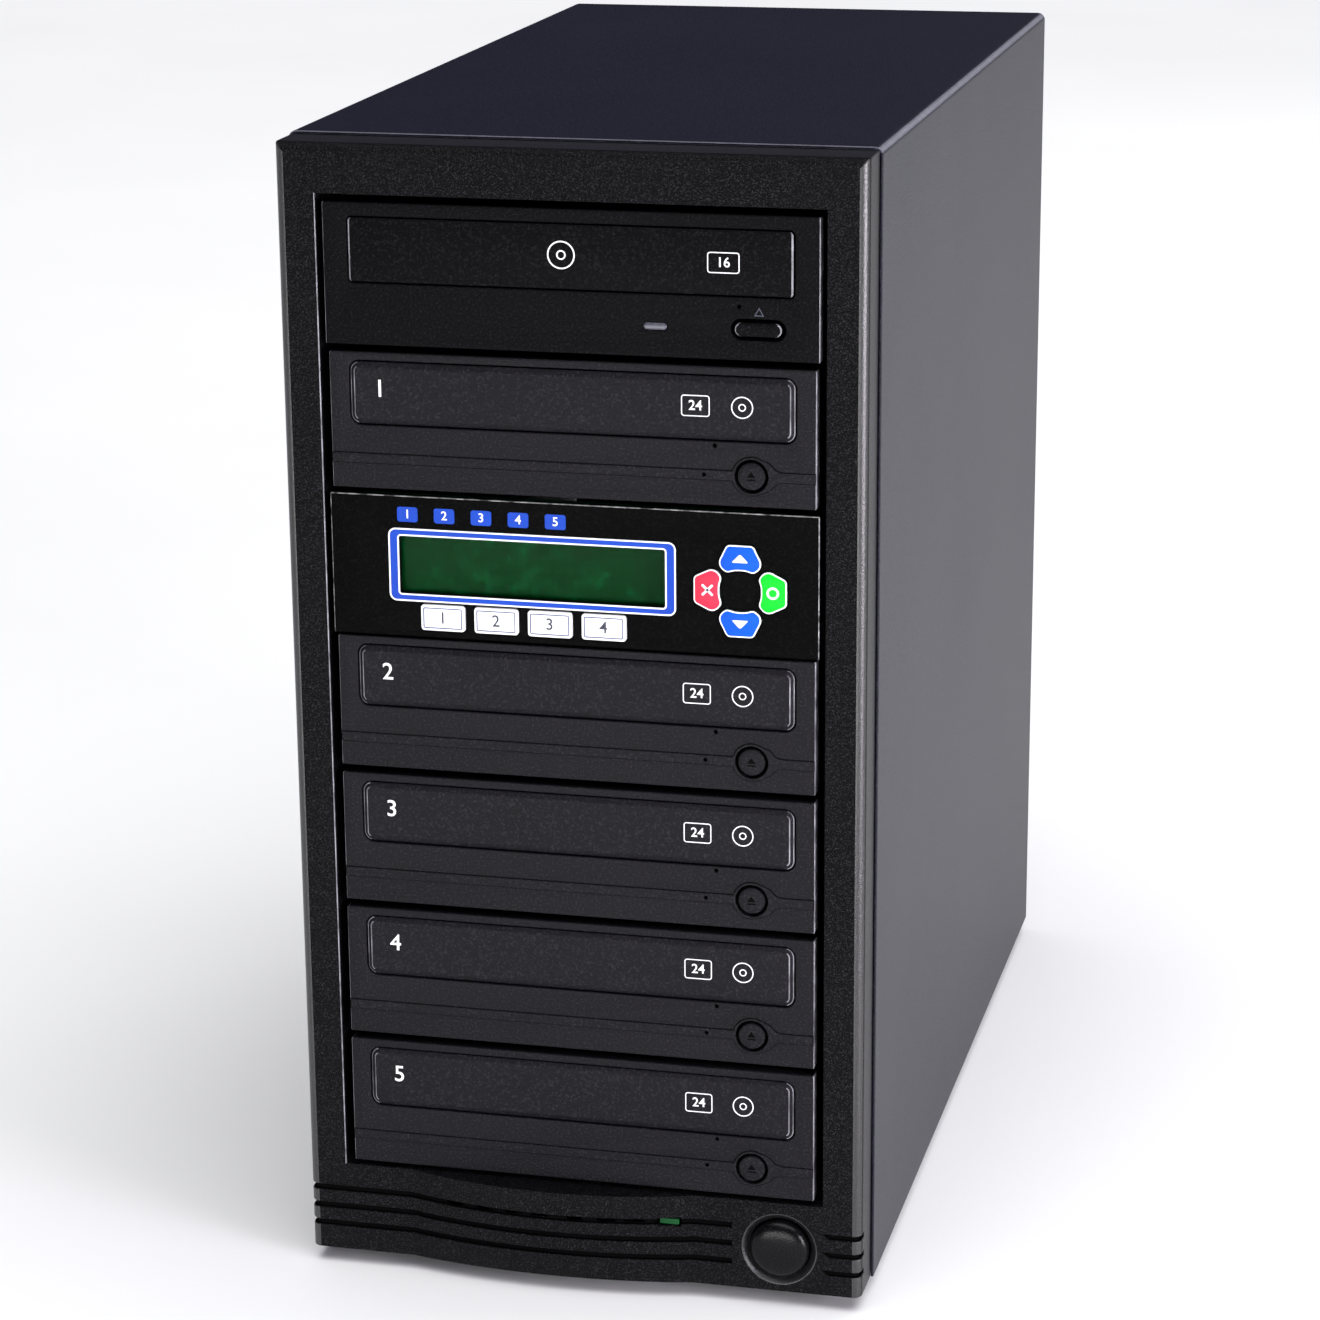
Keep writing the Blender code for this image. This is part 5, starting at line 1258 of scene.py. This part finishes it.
def make_switch_marks():
    """The ring and the bar printed on the rocker's two halves."""
    rocker = frame["nodes"]["supply_switch"]
    low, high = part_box("supply_switch")
    middle_x, middle_z = (low[0] + high[0]) / 2, (low[2] + high[2]) / 2
    quarter = (high[0] - low[0]) / 4
    for name, across in (("ring", -quarter), ("bar", quarter)):
        start = Vector((middle_x + across, 1, middle_z))
        hit, place, normal, _ = rocker.ray_cast(start, Vector((0, -1, 0)))
        if not hit:
            continue
        if name == "ring":
            mark = printed_ring("mark", circle_points((0, 0), 1.7 * MM, 24), 0.5 * MM, 0)
        else:
            outline = round_points(0.6 * MM, 3.6 * MM, 0.1 * MM)
            mark = plate("mark", [outline], -PRINT_HALF, PRINT_HALF)
        turn = Vector((0, 1, 0)).rotation_difference(normal).to_matrix().to_4x4()
        mark.transform(Matrix.Translation(place) @ turn)
        body, slot = body_with("supply_switch"), slot_with("supply_switch")
        show(mark, "supply_switch_" + name, body, PRINT)


make_screws()
make_fan_guard()
make_switch_marks()


# Nodes that keep their shape

for node, thing in frame["nodes"].items():
    if thing.hide_render:
        continue
    slot = slot_with(node)
    if node.endswith("_tray"):
        rounded_node(node, (TRAY,), 0.25 * MM)
        continue
    look = NODE_LOOKS[slot]
    # The drives' bodies and cage get steel with painted shade at its front end.
    if node.endswith("_body") or node.startswith("cage"):
        look = DRIVE_STEEL_SHADED
    thing.data.materials.clear()
    thing.data.materials.append(look)


# Stage, lights and camera

def make_stage():
    """A wide white floor."""
    form = bmesh.new()
    bmesh.ops.create_grid(form, x_segments=8, y_segments=8, size=12.0)
    mesh = bpy.data.meshes.new("floor")
    form.to_mesh(mesh)
    form.free()
    look = finish_of(
        "floor_look", (246, 246, 246), (250, 250, 250), 0.7, 60, 0.0001, patch=2, specular=0.2
    )
    mesh.materials.append(look)
    floor = linked("floor", mesh)


def make_world():
    """White where the camera sees it, and a faint blue where it lights the tower."""
    world = bpy.data.worlds.new("studio")
    bpy.context.scene.world = world
    world.use_nodes = True
    tree = world.node_tree
    background = tree.nodes["Background"]
    background.inputs["Color"].default_value = (0.028, 0.028, 0.058, 1)
    background.inputs["Strength"].default_value = 1.0
    seen = tree.nodes.new("ShaderNodeBackground")
    seen.inputs["Color"].default_value = (1, 1, 1, 1)
    path = tree.nodes.new("ShaderNodeLightPath")
    mix = tree.nodes.new("ShaderNodeMixShader")
    tree.links.new(path.outputs["Is Camera Ray"], mix.inputs["Fac"])
    tree.links.new(background.outputs["Background"], mix.inputs[1])
    tree.links.new(seen.outputs["Background"], mix.inputs[2])
    tree.links.new(mix.outputs["Shader"], tree.nodes["World Output"].inputs["Surface"])


def make_sky_light():
    """Even, soft light from above."""
    light = bpy.data.lights.new("sky", "SUN")
    light.energy = 3.1
    light.angle = math.radians(70)
    made = linked("sky", light)
    made.rotation_euler = (math.radians(8), math.radians(6), 0)


def make_light(name, place, target, size, power, colour=(1, 1, 1)):
    """A soft box, which the camera doesn't see, aimed at a target."""
    light = bpy.data.lights.new(name, "AREA")
    light.shape = "RECTANGLE"
    light.size, light.size_y = size
    light.energy = power
    light.color = colour
    made = linked(name, light)
    made.location = place
    made.visible_camera = False
    made.rotation_euler = (Vector(target) - Vector(place)).to_track_quat("-Z", "Y").to_euler()


def make_camera():
    """The photograph's camera, placed and turned by its yaw, pitch and roll."""
    ahead = Vector((
        -math.sin(CAMERA_YAW) * math.cos(CAMERA_PITCH),
        math.cos(CAMERA_YAW) * math.cos(CAMERA_PITCH),
        -math.sin(CAMERA_PITCH),
    ))
    level = Vector((math.cos(CAMERA_YAW), math.sin(CAMERA_YAW), 0))
    upright = level.cross(ahead)
    right = level * math.cos(CAMERA_ROLL) + upright * math.sin(CAMERA_ROLL)
    above = right.cross(ahead)
    data = bpy.data.cameras.new("camera")
    data.sensor_width = CAMERA_SENSOR
    data.lens = CAMERA_LENS
    data.clip_start = 0.05
    camera = linked("camera", data)
    turn = Matrix((right, above, -ahead)).transposed()
    camera.matrix_world = Matrix.Translation(CAMERA_PLACE) @ turn.to_4x4()
    bpy.context.scene.camera = camera


make_stage()
make_world()
make_sky_light()
make_light("side", (1.15, -0.7, 0.18), (0.08, -0.1, 0.14), (0.45, 0.6), 20, (1, 0.95, 1.04))
make_light("low_front", (-0.1, -0.95, 0.06), (0, 0, 0.04), (0.8, 0.1), 3.2)
make_light("rear", (1.0, 2.0, 1.3), (0, 0.1, 0.2), (1.2, 1.2), 8)
make_camera()
bpy.context.scene.view_settings.view_transform = "Standard"
